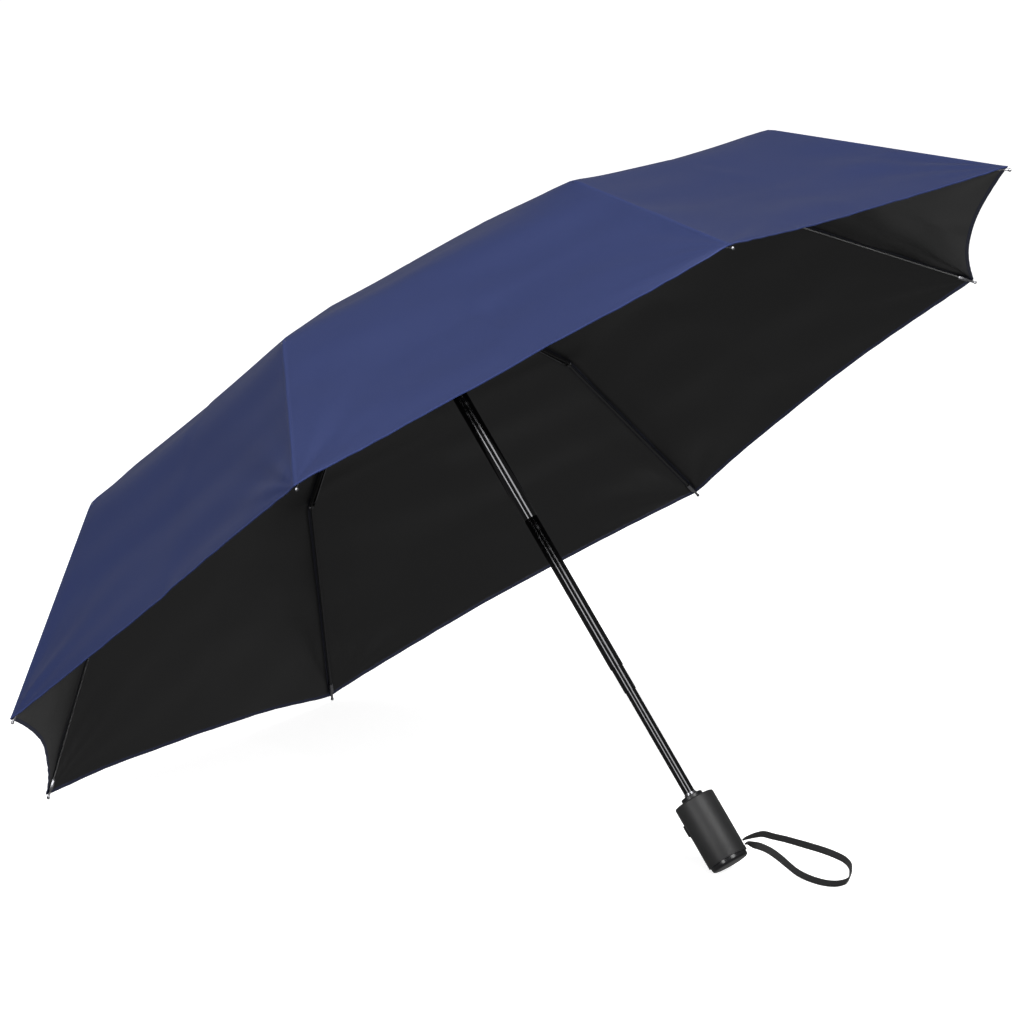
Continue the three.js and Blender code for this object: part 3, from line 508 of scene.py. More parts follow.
def strap_webbing(look):
    """Flat woven tape: ribs across its width, and a rolled edge down each side."""
    shade = tuple(look.webbing)
    finish = Finish("strap_webbing", shade, 0.75, {"Sheen Weight": 0.08, "Sheen Roughness": 0.5})
    along = finish.attribute("along")
    across = finish.attribute("across")
    picks = (along * (2 * math.pi / (0.9 * MM)) + (across * (2 * math.pi / (1.1 * MM))).sine() * 1.2).sine()
    edge = abs(across).smooth(look.width * 0.38, look.width * 0.44)
    fluff = finish.noise(1800, 3)
    finish.feed("Base Color", finish.mix(fluff, lighter(shade, 0.7), lighter(shade, 1.9)))
    finish.feed("Roughness", 0.66 + 0.16 * fluff)
    finish.bump(picks * 0.5 + edge * 0.8 + fluff * 0.4, 0.22 * MM, 0.8)
    return finish.material


def floor_finish(shade, glow):
    """A pale, evenly lit floor that glows a little, as a light table does, so that shadows stay faint."""
    constants = {"Specular IOR Level": 0.1, "Emission Color": (1, 1, 1, 1), "Emission Strength": glow}
    finish = Finish("studio_floor", shade, 0.9, constants)
    cloud = finish.noise(0.6, 1)
    finish.feed("Base Color", finish.mix(cloud, lighter(shade, 0.995), shade))
    return finish.material


# ---------------------------------------------------------------- meshes


def new_piece(name, mesh, material_slot, *materials):
    piece = bpy.data.objects.new(name, mesh)
    bpy.context.scene.collection.objects.link(piece)
    for material in materials:
        mesh.materials.append(material)
    return piece


def store(mesh, name, values):
    """Keeps one number for each vertex, for the finishes to read."""
    attribute = mesh.attributes.new(name, "FLOAT", "POINT")
    attribute.data.foreach_set("value", np.asarray(values, np.float32).ravel())


def mesh_of(name, points, faces, smooth=True):
    mesh = bpy.data.meshes.new(name)
    mesh.from_pydata([tuple(p) for p in np.asarray(points).reshape(-1, 3)], [], faces)
    if smooth:
        mesh.shade_smooth()
    mesh.validate()
    return mesh


def dress(node, material, soft_edge=0.0):
    """Gives a CAD node its finish, rounds its edges and lets light run smoothly round its curves."""
    piece = frame["nodes"][node]
    mesh = piece.data
    mesh.materials.clear()
    mesh.materials.append(material)
    if "custom_normal" in mesh.attributes:
        mesh.attributes.remove(mesh.attributes["custom_normal"])
    mesh.shade_smooth()
    weld = piece.modifiers.new("weld", "WELD")
    weld.merge_threshold = 0.004 * MM
    if soft_edge:
        bevel = piece.modifiers.new("soft edges", "BEVEL")
        bevel.width = soft_edge
        bevel.segments = 2
        bevel.limit_method = "ANGLE"
        bevel.angle_limit = math.radians(50)
    split = piece.modifiers.new("creases", "EDGE_SPLIT")
    split.split_angle = math.radians(34)


def turned_mesh(name, profile, sides=64):
    """A solid of revolution about the shaft, from a closed profile of distances and heights."""
    turns = np.arange(sides) * 2 * math.pi / sides
    rings = [[(r * math.cos(t), r * math.sin(t), z) for r, z in profile] for t in turns]
    rows = len(profile)
    faces = []
    for side in range(sides):
        for row in range(rows):
            ahead, after = (side + 1) % sides, (row + 1) % rows
            faces.append((side * rows + row, ahead * rows + row, ahead * rows + after, side * rows + after))
    return mesh_of(name, to_row(rings), faces)


class Growth(NodeTree):
    """A Geometry Nodes tree being made, which turns the mesh it is given into a finished one."""

    def __init__(self, name, **inputs):
        super().__init__(bpy.data.node_groups.new(name, "GeometryNodeTree"))
        face = self.tree.interface
        face.new_socket("Geometry", in_out="INPUT", socket_type="NodeSocketGeometry")
        face.new_socket("Geometry", in_out="OUTPUT", socket_type="NodeSocketGeometry")
        self.names = {}
        for label, kind in {**inputs, "material": "Material"}.items():
            shown = label.replace("_", " ").capitalize()
            socket = face.new_socket(shown, in_out="INPUT", socket_type=f"NodeSocket{kind}")
            self.names[label] = (shown, socket.identifier)
        self.start = self.node("NodeGroupInput", {}, {})

    def given(self, label):
        return self.start.out(self.names[label][0])

    def close(self, grown):
        """Ends the tree: real geometry, smooth and in its material."""
        real = self.node("GeometryNodeRealizeInstances", {}, {0: grown}).out(0)
        soft = self.node("GeometryNodeSetShadeSmooth", {}, {0: real}).out(0)
        sockets = {"Geometry": soft, "Material": self.given("material")}
        done = self.node("GeometryNodeSetMaterial", {}, sockets).out(0)
        self.node("NodeGroupOutput", {}, {0: done})
        return self

    def grow(self, name, mesh, **values):
        """Runs the tree on a mesh and gives back the result as a plain mesh."""
        seed = bpy.data.objects.new(name, mesh)
        bpy.context.scene.collection.objects.link(seed)
        modifier = seed.modifiers.new("growth", "NODES")
        modifier.node_group = self.tree
        for label, value in values.items():
            modifier[self.names[label][1]] = value
        seed.update_tag()
        depsgraph = bpy.context.evaluated_depsgraph_get()
        made = bpy.data.meshes.new_from_object(seed.evaluated_get(depsgraph), depsgraph=depsgraph)
        seed.modifiers.remove(modifier)
        bpy.data.objects.remove(seed)
        made.name = name
        return made


def points_mesh(name, places, facing):
    """Loose points, each with the direction that it faces."""
    mesh = bpy.data.meshes.new(name)
    mesh.from_pydata([tuple(place) for place in places], [], [])
    attribute = mesh.attributes.new("facing", "FLOAT_VECTOR", "POINT")
    attribute.data.foreach_set("vector", np.asarray(facing, np.float32).ravel())
    return mesh


def rivet_growth():
    """Sets a domed rivet head on every point, facing the way that the point faces."""
    growth = Growth("rivet_heads", head_radius="Float", head_height="Float")
    points = growth.node("GeometryNodeMeshToPoints", {}, {0: growth.start.out("Geometry")}).out(0)
    facing = growth.node(
        "GeometryNodeInputNamedAttribute", {"data_type": "FLOAT_VECTOR"}, {"Name": "facing"}
    ).out(0)
    turn = growth.node("FunctionNodeAlignRotationToVector", {"axis": "Z"}, {"Vector": facing}).out(0)
    dome = growth.node("GeometryNodeMeshUVSphere", {}, {"Segments": 14, "Rings": 8, "Radius": 1.0}).out(0)
    size = growth.node(
        "ShaderNodeCombineXYZ",
        {},
        {
            "X": growth.given("head_radius"),
            "Y": growth.given("head_radius"),
            "Z": growth.given("head_height"),
        },
    ).out(0)
    sockets = {"Points": points, "Instance": dome, "Rotation": turn, "Scale": size}
    return growth.close(growth.node("GeometryNodeInstanceOnPoints", {}, sockets).out(0))


def spring_growth():
    """Winds a wire into a coil that stands on the origin along Z."""
    growth = Growth("coil", turns="Float", coil_radius="Float", height="Float", wire_radius="Float")
    sockets = {
        "Resolution": 20,
        "Rotations": growth.given("turns"),
        "Start Radius": growth.given("coil_radius"),
        "End Radius": growth.given("coil_radius"),
        "Height": growth.given("height"),
    }
    spiral = growth.node("GeometryNodeCurveSpiral", {}, sockets).out(0)
    ring = growth.node(
        "GeometryNodeCurvePrimitiveCircle", {}, {"Resolution": 8, "Radius": growth.given("wire_radius")}
    ).out(0)
    sockets = {"Curve": spiral, "Profile Curve": ring, "Fill Caps": True}
    return growth.close(growth.node("GeometryNodeCurveToMesh", {}, sockets).out(0))


def coil(name, matrix, turns, radius, height, wire, material):
    """A spring of round wire, standing on the matrix's origin along its Z."""
    empty = bpy.data.meshes.new(name)
    sizes = {"turns": float(turns), "coil_radius": radius, "height": height, "wire_radius": wire / 2}
    mesh = spring_growth().grow(name, empty, **sizes, material=material)
    mesh.transform(matrix)
    return mesh


# ---------------------------------------------------------------- the canopy

RINGS = ("crown", "middle", "tail")
COLUMNS = 36  # across a gore, from rib to rib
ROWS = {"crown": 26, "middle": 24, "tail": 44}


def bend(distance, softness):
    """A ramp that is 0 before 0 and rises at slope 1 after it, rounded over softness."""
    spread = distance / softness
    bell = np.exp(-0.5 * spread**2) / math.sqrt(2 * math.pi)
    step = 0.5 * (1 + np.vectorize(math.erf)(spread / math.sqrt(2)))
    return distance * step + softness * bell


CREASES_IN_A_FAN = (7, 12, 19)
CREASE_START = 20 * MM
CREASE_REACH = 110 * MM
PUCKERS = 260
PUCKER_SHARE = 0.12
PUCKER_REACH = 12 * MM
HELD_BY_SEAM = 12 * MM


class Cloth:
    """The whole canopy as one sheet: points from the crown down to the hem and once round the umbrella."""

    def __init__(self, look):
        self.look = look
        self.corners = self.rib_line()
        self.lay_out()
        self.shape()
        self.crease()

    def rib_line(self):
        """Corners of the cloth's line over a rib, as distance from the shaft and height."""
        look = self.look
        hinge = in_rib_plane(crown_hinge(1)["pos_m"])
        elbow = in_rib_plane(pivot("mid_hinge", 1))
        tail = in_rib_plane(pivot("tail_hinge", 1))
        tip_vertices = own_vertices("rib_tip_1")
        out = np.hypot(tip_vertices[:, 0], tip_vertices[:, 1])
        tip = Vector((out.max(), tip_vertices[:, 2].min()))
        canopy = own_vertices("canopy")
        middle = np.hypot(canopy[:, 0], canopy[:, 1])
        hole = float(middle.min())
        height = float(canopy[middle < hole + MM, 2].min())
        raised = lambda point, along, amount: point + amount * Vector((-along.y, along.x)).normalized()
        tail_run = (tip - tail).normalized()
        hem = raised(tip - tail_run * look.hem_to_tip, tail_run, look.over_tail)
        return [
            Vector((hole, height)),
            Vector((reach("top_cap") + MM, height)),
            raised(elbow, elbow - hinge, look.over_elbow),
            raised(tail, tail - elbow, look.over_tail_pin),
            hem,
        ]

    def lay_out(self):
        """Places in the cloth: how far along a rib each row is, and each column's share of its gore."""
        runs = [(b - a).length for a, b in zip(self.corners, self.corners[1:])]
        marks = np.concatenate([[0], np.cumsum(runs)])
        self.marks = marks
        self.ends = {"crown": (0, marks[2]), "middle": (marks[2], marks[3]), "tail": (marks[3], marks[4])}
        rows = []
        self.row_range = {}
        for ring in RINGS:
            start, end = self.ends[ring]
            share = np.linspace(0, 1, ROWS[ring] + 1)
            if ring == "tail":
                share = 1 - (1 - share) ** 1.25
            first = len(rows) - 1 if rows else 0
            rows.extend(start + (end - start) * share[1 if rows else 0 :])
            self.row_range[ring] = (first, first + ROWS[ring])
        self.rows = np.array(rows)
        self.share = (1 - np.cos(math.pi * np.arange(COLUMNS) / COLUMNS)) / 2

    def shape(self):
        look = self.look
        share = np.tile(self.share, RIBS)[None, :]
        bow = 4 * share * (1 - share)
        gore = np.repeat(np.arange(RIBS), COLUMNS)[None, :]
        rows = self.rows[:, None]
        tail_start, hem = self.ends["tail"]
        in_tail = np.clip((rows - tail_start) / (hem - tail_start), 0, 1)
        along = rows - look.hem_inset * bow * in_tail
        softness = look.elbow_round + (look.gore_round - look.elbow_round) * bow**0.6
        place = np.zeros((2, *np.broadcast_shapes(along.shape, softness.shape)))
        slope = np.zeros_like(place)
        runs = [(b - a).normalized() for a, b in zip(self.corners, self.corners[1:])]
        step = 0.5 * MM
        for side in (0, 1):
            line = lambda s: (
                self.corners[0][side]
                + runs[0][side] * s
                + sum(
                    (after[side] - before[side]) * bend(s - mark, soft)
                    for before, after, mark, soft in zip(
                        runs, runs[1:], self.marks[1:], (2 * MM, softness * 0.8, softness)
                    )
                )
            )
            place[side] = line(along)
            slope[side] = (line(along + step) - line(along - step)) / (2 * step)
        sag_along = np.interp(
            rows, [0, self.marks[2], tail_start, (tail_start + hem) / 2, hem], [0, 0, 0.1, 1, 0.9]
        )
        fall = look.sag * sag_along * bow
        first = 2 * math.pi * (gore + 0.5) / RIBS
        second = first + 2 * math.pi / RIBS
        middle = first + (second - first) * share
        cosines = (1 - share) * np.cos(first) + share * np.cos(second)
        sines = (1 - share) * np.sin(first) + share * np.sin(second)
        size = np.hypot(slope[0], slope[1])
        inward = fall * slope[1] / size
        x = place[0] * cosines + inward * np.cos(middle)
        y = place[0] * sines + inward * np.sin(middle)
        z = place[1] - fall * slope[0] / size
        self.points = np.stack([x, y, z], -1)
        chord = 2 * place[0] * math.sin(math.pi / RIBS)
        self.across = np.where(share < 0.5, share, share - 1) * chord
        self.along = np.broadcast_to(along, x.shape)
        self.from_hem = np.broadcast_to(hem - look.hem_inset * bow - along, x.shape)
        self.gore = np.broadcast_to(gore, x.shape)
        self.bow = np.broadcast_to(bow, x.shape)
        self.share_of_gore = np.broadcast_to(share, x.shape)

    def find_normals(self):
        """Directions out of the cloth at every point, from its neighbours."""
        along = np.gradient(self.points, axis=0)
        across = np.roll(self.points, -1, 1) - np.roll(self.points, 1, 1)
        normals = np.cross(along, across)
        normals /= np.linalg.norm(normals, axis=-1, keepdims=True)
        if normals[len(self.rows) // 4, 0, 2] < 0:
            normals = -normals
        return normals

    def crease(self):
        """Creases that fan out from each tip, small puckers along the hem, and slow waves."""
        normals = self.find_normals()
        depth = np.zeros(self.points.shape[:2])
        dice = np.random.default_rng(17)
        hem_row = self.points[-1]
        for gore in range(RIBS):
            here = self.gore == gore
            tips = [hem_row[gore * COLUMNS], hem_row[(gore + 1) % RIBS * COLUMNS]]
            for tip, other in (tips, tips[::-1]):
                chord = (other - tip) / np.linalg.norm(other - tip)
                crown_way = self.points[0, gore * COLUMNS] - tip
                rise = crown_way - chord * (crown_way @ chord)
                rise /= np.linalg.norm(rise)
                reach_out = self.points - tip
                distance = np.linalg.norm(reach_out, axis=-1)
                turn = np.arctan2(reach_out @ rise, reach_out @ chord)
                fans = np.zeros_like(distance)
                for count in CREASES_IN_A_FAN:
                    size, phase = dice.uniform(0.5, 1), dice.uniform(0, 2 * math.pi)
                    fans += size / count**0.5 * np.sin(count * turn + phase + 6 * distance)
                rise_and_fall = distance / (distance + CREASE_START) * np.exp(-distance / CREASE_REACH)
                depth += np.where(here, fans * rise_and_fall * 1.8, 0)
            for wave in range(3):
                size, phase = dice.uniform(0.5, 1), dice.uniform(0, 2 * math.pi)
                tilt = dice.uniform(-25, 25)
                ripple = np.sin(self.along * (55 + 30 * wave) + self.across * tilt * 2 + phase)
                depth += np.where(here, size * ripple * 0.25, 0)
        puckers = np.sin(self.across * PUCKERS + self.gore * 1.7)
        pull = PUCKER_SHARE * puckers * np.exp(-self.from_hem / PUCKER_REACH)
        held = np.clip(np.abs(self.across) / HELD_BY_SEAM, 0, 1) ** 0.7
        self.points = self.points + normals * ((depth + pull) * held * self.look.wrinkle)[..., None]
        self.normals = self.find_normals()

    def piece(self, number, ring, materials):
        """The part of the cloth that goes with one stretch of one rib, as a thin closed shell."""
        look = self.look
        first, last = self.row_range[ring]
        middle = (number - 1) * COLUMNS
        columns = np.arange(middle - COLUMNS // 2, middle + COLUMNS // 2 + 1) % (RIBS * COLUMNS)
        pick = np.ix_(np.arange(first, last + 1), columns)
        inside, normals = self.points[pick], self.normals[pick]
        fold = np.exp(-np.clip(self.from_hem[pick], 0, 1) / (0.5 * look.hem))[..., None]
        outside = inside + normals * (look.thickness + 0.35 * MM * fold)
        inside = inside - normals * 0.25 * MM * fold
        across = self.across[pick].copy()
        across[:, -1] = np.abs(across[:, -1])
        across[:, 0] = -np.abs(across[:, 0])
        height, width = across.shape
        count = height * width
        index = np.arange(count).reshape(height, width)
        a, b, c, d = (x.ravel() for x in (index[:-1, :-1], index[:-1, 1:], index[1:, 1:], index[1:, :-1]))
        over = np.stack([a, d, c, b], -1)
        under = np.stack([a, b, c, d], -1) + count
        rim = np.concatenate([index[0, :-1], index[:-1, -1], index[-1, :0:-1], index[:0:-1, 0]])
        ahead = np.roll(rim, -1)
        walls = np.stack([rim, ahead, ahead + count, rim + count], -1)
        points = to_row(np.concatenate([outside.reshape(-1, 3), inside.reshape(-1, 3)]))
        name = f"canopy_{ring}_{number}"
        mesh = mesh_of(name, points, np.concatenate([over, under, walls]).tolist())
        turn = np.array(OWN)[:3, :3]
        out = normals.reshape(-1, 3) @ turn.T
        wall_normals = np.repeat(self.wall_directions(points, walls), 4, 0)
        loops = np.concatenate([out[over.ravel()], -out[under.ravel() - count], wall_normals])
        mesh.normals_split_custom_set(loops.tolist())
        sides = ((over, 0), (under, 1), (walls, 0))
        marks = np.concatenate([np.full(len(faces), slot) for faces, slot in sides])
        mesh.polygons.foreach_set("material_index", marks.astype(np.int32))
        places = {"across": across, "along": self.along[pick], "from_hem": self.from_hem[pick]}
        for label, values in places.items():
            store(mesh, label, np.concatenate([values.ravel(), values.ravel()]))
        return new_piece(name, mesh, "navy_cloth", *materials), inside, across

    @staticmethod
    def wall_directions(points, walls):
        corner = points[walls]
        direction = np.cross(corner[:, 1] - corner[:, 0], corner[:, 3] - corner[:, 0])
        return direction / np.maximum(np.linalg.norm(direction, axis=1, keepdims=True), 1e-12)


def grid_area(points):
    """The area of a grid of points, from its cells' diagonals."""
    first = points[1:, 1:] - points[:-1, :-1]
    second = points[1:, :-1] - points[:-1, 1:]
    return float(np.linalg.norm(np.cross(first, second), axis=-1).sum() / 2)


RING_BODY = {"crown": "top_rib", "middle": "mid_rib", "tail": "tail_rib"}


class UMBRELLA_OT_canopy(bpy.types.Operator):
    """Makes the cloth: one continuous sheet, cut where it has to fold with each stretch of each rib."""

    bl_idname = "umbrella.canopy"
    bl_label = "Canopy"

    def execute(self, context):
        look = context.scene.umbrella_canopy
        materials = cloth_outside(look), cloth_lining(look)
        cloth = Cloth(look)
        for number in range(1, RIBS + 1):
            for ring in RINGS:
                piece, inside, across = cloth.piece(number, ring, materials)
                body = f"{RING_BODY[ring]}_{number}_body"
                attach(piece, body)
                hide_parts("canopy")
                start, end = cloth.ends[ring]
                width = float(across.max() - across.min())
                flat = (width, float(end - start))
                area = min(grid_area(inside), flat[0] * flat[1])
                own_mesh(piece)
        return {"FINISHED"}


# ---------------------------------------------------------------- the ribs


def swept_mesh(name, path, sections):
    """A closed solid from a run of sections, each a ring of points round its place on a path."""
    count, sides = len(path), sections.shape[1]
    index = np.arange(count * sides).reshape(count, sides)
    ahead = np.roll(index, -1, axis=1)
    quads = np.stack([index[:-1], ahead[:-1], ahead[1:], index[1:]], -1).reshape(-1, 4)
    faces = quads.tolist() + [index[0, ::-1].tolist(), index[-1].tolist()]
    return mesh_of(name, sections.reshape(-1, 3), faces)


def round_wire(name, path, radius, side, sides=10):
    """A round wire along a path that lies square to one side direction."""
    path = np.asarray(path, float)
    ways = np.gradient(path, axis=0)
    ways /= np.linalg.norm(ways, axis=1, keepdims=True)
    across = np.cross(ways, side)
    across /= np.linalg.norm(across, axis=1, keepdims=True)
    turns = np.arange(sides) * 2 * math.pi / sides
    ring = np.cos(turns)[None, :, None] * across[:, None] + np.sin(turns)[None, :, None] * np.asarray(side)
    return swept_mesh(name, path, path[:, None] + radius * ring)


class UMBRELLA_OT_ribs(bpy.types.Operator):
    """Finishes the ribs, stretchers and tips, and adds their rivets and draw wires."""

    bl_idname = "umbrella.ribs"
    bl_label = "Ribs"

    def execute(self, context):
        look = context.scene.umbrella_ribs
        paint = painted_steel(look)
        steel = bright_steel(look)
        heads = rivet_growth()
        for number in range(1, RIBS + 1):
            for node in ("top_rib", "mid_rib", "tail_rib", "stretcher"):
                dress(f"{node}_{number}", paint)
            dress(f"rib_tip_{number}", steel)
            self.rivets(look, heads, number, steel)
            self.draw_wire(look, number, steel)
        self.runner_rivets(look, heads, steel)
        return {"FINISHED"}

    def rivets(self, look, heads, number, steel):
        """Heads on both ends of the pins that a rib carries."""
        for body, node, hinges in (
            (f"top_rib_{number}_body", f"top_rib_{number}", ("mid_hinge", "stretcher_hinge")),
            (f"mid_rib_{number}_body", f"mid_rib_{number}", ("tail_hinge",)),
        ):
            axis = Vector(joints[f"mid_hinge_{number}"]["axis"])
            places, facing = [], []
            for hinge in hinges:
                pin = pivot(hinge, number)
                half = self.half_width(node, pin, axis)
                for side in (1, -1):
                    places.append(pin + axis * side * half)
                    facing.append(axis * side)
            self.add_heads(look, heads, f"rivets_{node}", body, places, facing, steel)

    @staticmethod
    def half_width(node, pin, axis):
        """How far a node reaches along a pin, close to it."""
        mesh = frame["nodes"][node].data
        places = [vertex.co - pin for vertex in mesh.vertices]
        near = [place for place in places if place.length < 9 * MM]
        return max(abs(place.dot(axis)) for place in near)

    def runner_rivets(self, look, heads, steel):
        """The ends of the pins that hold the stretchers in the runner's slots."""
        places, facing = [], []
        runner = own_vertices("runner")
        out = np.hypot(runner[:, 0], runner[:, 1])
        flange = runner[out > out.max() - MM / 2]
        height = (flange[:, 2].min() + flange[:, 2].max()) / 2
        radius = float(out.max())
        for number in range(1, RIBS + 1):
            turn = rib_azimuth(number) + math.pi / RIBS
            way = Vector((math.cos(turn), math.sin(turn), 0))
            places.append(OWN @ (way * radius + Vector((0, 0, height))))
            facing.append((OWN.to_3x3() @ way).normalized())
        self.add_heads(look, heads, "rivets_runner", "runner_sleeve", places, facing, steel)

    @staticmethod
    def add_heads(look, heads, name, body, places, facing, steel):
        sizes = {"head_radius": look.rivet, "head_height": look.rivet_height}
        mesh = heads.grow(name, points_mesh(name, places, facing), **sizes, material=steel)
        piece = new_piece(name, mesh, "bright_steel")
        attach(piece, body)

    def draw_wire(self, look, number, steel):
        """The steel wire that runs under a mid rib, shown in place but not driving its tail."""
        axis = Vector(joints[f"mid_hinge_{number}"]["axis"])
        elbow, tail = pivot("mid_hinge", number), pivot("tail_hinge", number)
        way = (tail - elbow).normalized()
        under = axis.cross(way).normalized()
        if under.dot(UP) > 0:
            under = -under
        start = elbow + way * look.wire_start
        end = tail - way * look.wire_end
        drop = look.wire_drop
        shares = np.linspace(0, 1, 33)
        path = []
        for share in shares:
            hook = drop * min(1, math.sin(math.pi * share) * 6) ** 0.5
            path.append(start.lerp(end, share) + under * hook + axis * look.wire_aside)
        mesh = round_wire(f"draw_wire_{number}", path, look.wire / 2, axis)
        piece = new_piece(f"draw_wire_{number}", mesh, "bright_steel", steel)
        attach(piece, f"mid_rib_{number}_body")


# ---------------------------------------------------------------- the shaft, the runner and the crown


class UMBRELLA_OT_shaft(bpy.types.Operator):
    """Finishes the tubes, the runner and the crown, and winds the shaft spring."""

    bl_idname = "umbrella.shaft"
    bl_label = "Shaft"

    def execute(self, context):
        look = context.scene.umbrella_shaft
        enamel = tube_enamel(look)
        plastic = moulded_plastic("crown_plastic", tuple(look.plastic), 0.34, 0.04 * MM)
        steel = spring_steel(look)
        for node in ("top_tube", "second_tube", "third_tube", "lower_tube"):
            dress(node, enamel)
        for node in ("runner", "crown_hub"):
            dress(node, plastic, look.edge)
        dress("top_cap", plastic)
        for node in ("crown_wire", "crown_stud"):
            dress(node, steel)
        self.spring(look, steel)
        return {"FINISHED"}

    def spring(self, look, steel):
        wound = own_vertices("shaft_spring")
        out = np.hypot(wound[:, 0], wound[:, 1])
        low, high = float(wound[:, 2].min()), float(wound[:, 2].max())
        radius = float(out.max()) - look.spring_wire / 2
        stand = OWN @ Matrix.Translation((0, 0, low + look.spring_wire / 2))
        height = high - low - look.spring_wire
        mesh = coil("shaft_coil", stand, look.spring_turns, radius, height, look.spring_wire, steel)
        piece = new_piece("shaft_coil", mesh, "bright_steel")
        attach(piece, "top_stage")
        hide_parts("shaft_spring")
        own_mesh(piece)


# ---------------------------------------------------------------- the handle


class UMBRELLA_OT_handle(bpy.types.Operator):
    """Finishes the handle's mouldings and button, and winds the button's spring."""

    bl_idname = "umbrella.handle"
    bl_label = "Handle"

    def execute(self, context):
        look = context.scene.umbrella_handle
        grip = soft_grip(look)
        gloss = moulded_plastic("gloss_plastic", tuple(look.cap), 0.22, 0.02 * MM)
        satin = moulded_plastic("satin_plastic", tuple(look.cap), 0.36, 0.04 * MM)
        steel = spring_steel(context.scene.umbrella_shaft)
        dress("handle_shell", grip, look.bevel)
        dress("handle_end_cap", gloss)
        dress("handle_collar", satin)
        dress("handle_core", satin)
        dress("push_button", satin, look.bevel)
        for node in ("release_latch", "strap_pin"):
            dress(node, steel)
        self.button_coil(look, steel)
        self.tube_seat(context.scene.umbrella_ribs, look)
        return {"FINISHED"}

    def button_coil(self, look, steel):
        press = joints["button_press"]
        way = Vector(press["axis"]).normalized()
        mesh = frame["nodes"]["button_spring"].data
        reaches = [vertex.co.dot(way) for vertex in mesh.vertices]
        middle = sum((vertex.co for vertex in mesh.vertices), Vector()) / len(mesh.vertices)
        height = max(reaches) - min(reaches)
        foot = middle + way * (max(reaches) - middle.dot(way))
        out = max(
            ((vertex.co - middle) - way * (vertex.co - middle).dot(way)).length for vertex in mesh.vertices
        )
        stand = Matrix.Translation(foot) @ (-way).to_track_quat("Z", "Y").to_matrix().to_4x4()
        stand = stand @ Matrix.Translation((0, 0, look.button_wire / 2))
        rise = height - look.button_wire
        coiled = coil("button_coil", stand, 5, out - look.button_wire / 2, rise, look.button_wire, steel)
        piece = new_piece("button_coil", coiled, "bright_steel")
        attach(piece, "handle")
        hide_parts("button_spring")
        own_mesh(piece)

    def tube_seat(self, ribs, look):
        """The bright sleeve that the lowest tube stands in, where it enters the collar."""
        collar = own_vertices("handle_collar")
        tube = own_vertices("lower_tube")
        top = float(collar[:, 2].max())
        inner = float(np.hypot(tube[:, 0], tube[:, 1]).max()) + 0.02 * MM
        outer = inner + look.seat_wall
        profile = [
            (inner, top - look.seat_wall),
            (outer + look.seat_wall, top + 0.05 * MM),
            (outer + look.seat_wall, top + 0.35 * look.seat_height),
            (outer, top + 0.6 * look.seat_height),
            (outer, top + look.seat_height - 0.2 * MM),
            (outer - 0.2 * MM, top + look.seat_height),
            (inner, top + look.seat_height),
        ]
        mesh = turned_mesh("tube_seat", profile)
        piece = new_piece("tube_seat", mesh, "bright_steel", bright_steel(ribs))
        split = piece.modifiers.new("creases", "EDGE_SPLIT")
        split.split_angle = math.radians(34)
        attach(piece, "handle")


# ---------------------------------------------------------------- the wrist strap

# The strap lies where it fell: out of the slot, round a loop that comes down to the floor, and back.
# Each point is x and y from the slot's mouth, and z above the floor.
STRAP_ROUTE = (
    (-0.006, -0.0065, 0.031),
    (-0.010, -0.0125, 0.0315),
    (-0.015, -0.020, 0.0285),
    (-0.021, -0.029, 0.025),
    (-0.0275, -0.039, 0.0205),
    (-0.032, -0.0495, 0.0158),
    (-0.0385, -0.0585, 0.0114),
    (-0.0455, -0.0645, 0.0076),
    (-0.054, -0.0655, 0.005),
    (-0.063, -0.060, 0.0036),
    (-0.072, -0.0485, 0.0034),
    (-0.080, -0.0355, 0.0034),
    (-0.0848, -0.023, 0.0034),
    (-0.082, -0.014, 0.0034),
    (-0.0745, -0.0102, 0.0034),
    (-0.0635, -0.0105, 0.0034),
    (-0.051, -0.0135, 0.0036),
    (-0.040, -0.017, 0.0046),
    (-0.029, -0.0205, 0.0074),
    (-0.0205, -0.0205, 0.0118),
    (-0.0135, -0.0175, 0.0166),
    (-0.0095, -0.012, 0.0204),
    (-0.006, -0.0065, 0.023),
)


def through(points, steps):
    """A smooth line through points, as a centripetal Catmull-Rom curve."""
    points = np.asarray(points, float)
    first, last = 2 * points[0] - points[1], 2 * points[-1] - points[-2]
    points = np.concatenate([[first], points, [last]])
    line = []
    for a, b, c, d in zip(points, points[1:], points[2:], points[3:]):
        gaps = [math.sqrt(np.linalg.norm(q - p)) for p, q in ((a, b), (b, c), (c, d))]
        knots = np.cumsum([0, *gaps])
        for t in np.linspace(knots[1], knots[2], steps, endpoint=False):
            blend = lambda p, q, i, j: ((knots[j] - t) * p + (t - knots[i]) * q) / (knots[j] - knots[i])
            ab, bc, cd = blend(a, b, 0, 1), blend(b, c, 1, 2), blend(c, d, 2, 3)
            line.append(blend(blend(ab, bc, 0, 2), blend(bc, cd, 1, 3), 1, 2))
    line.append(points[-2])
    return np.array(line)


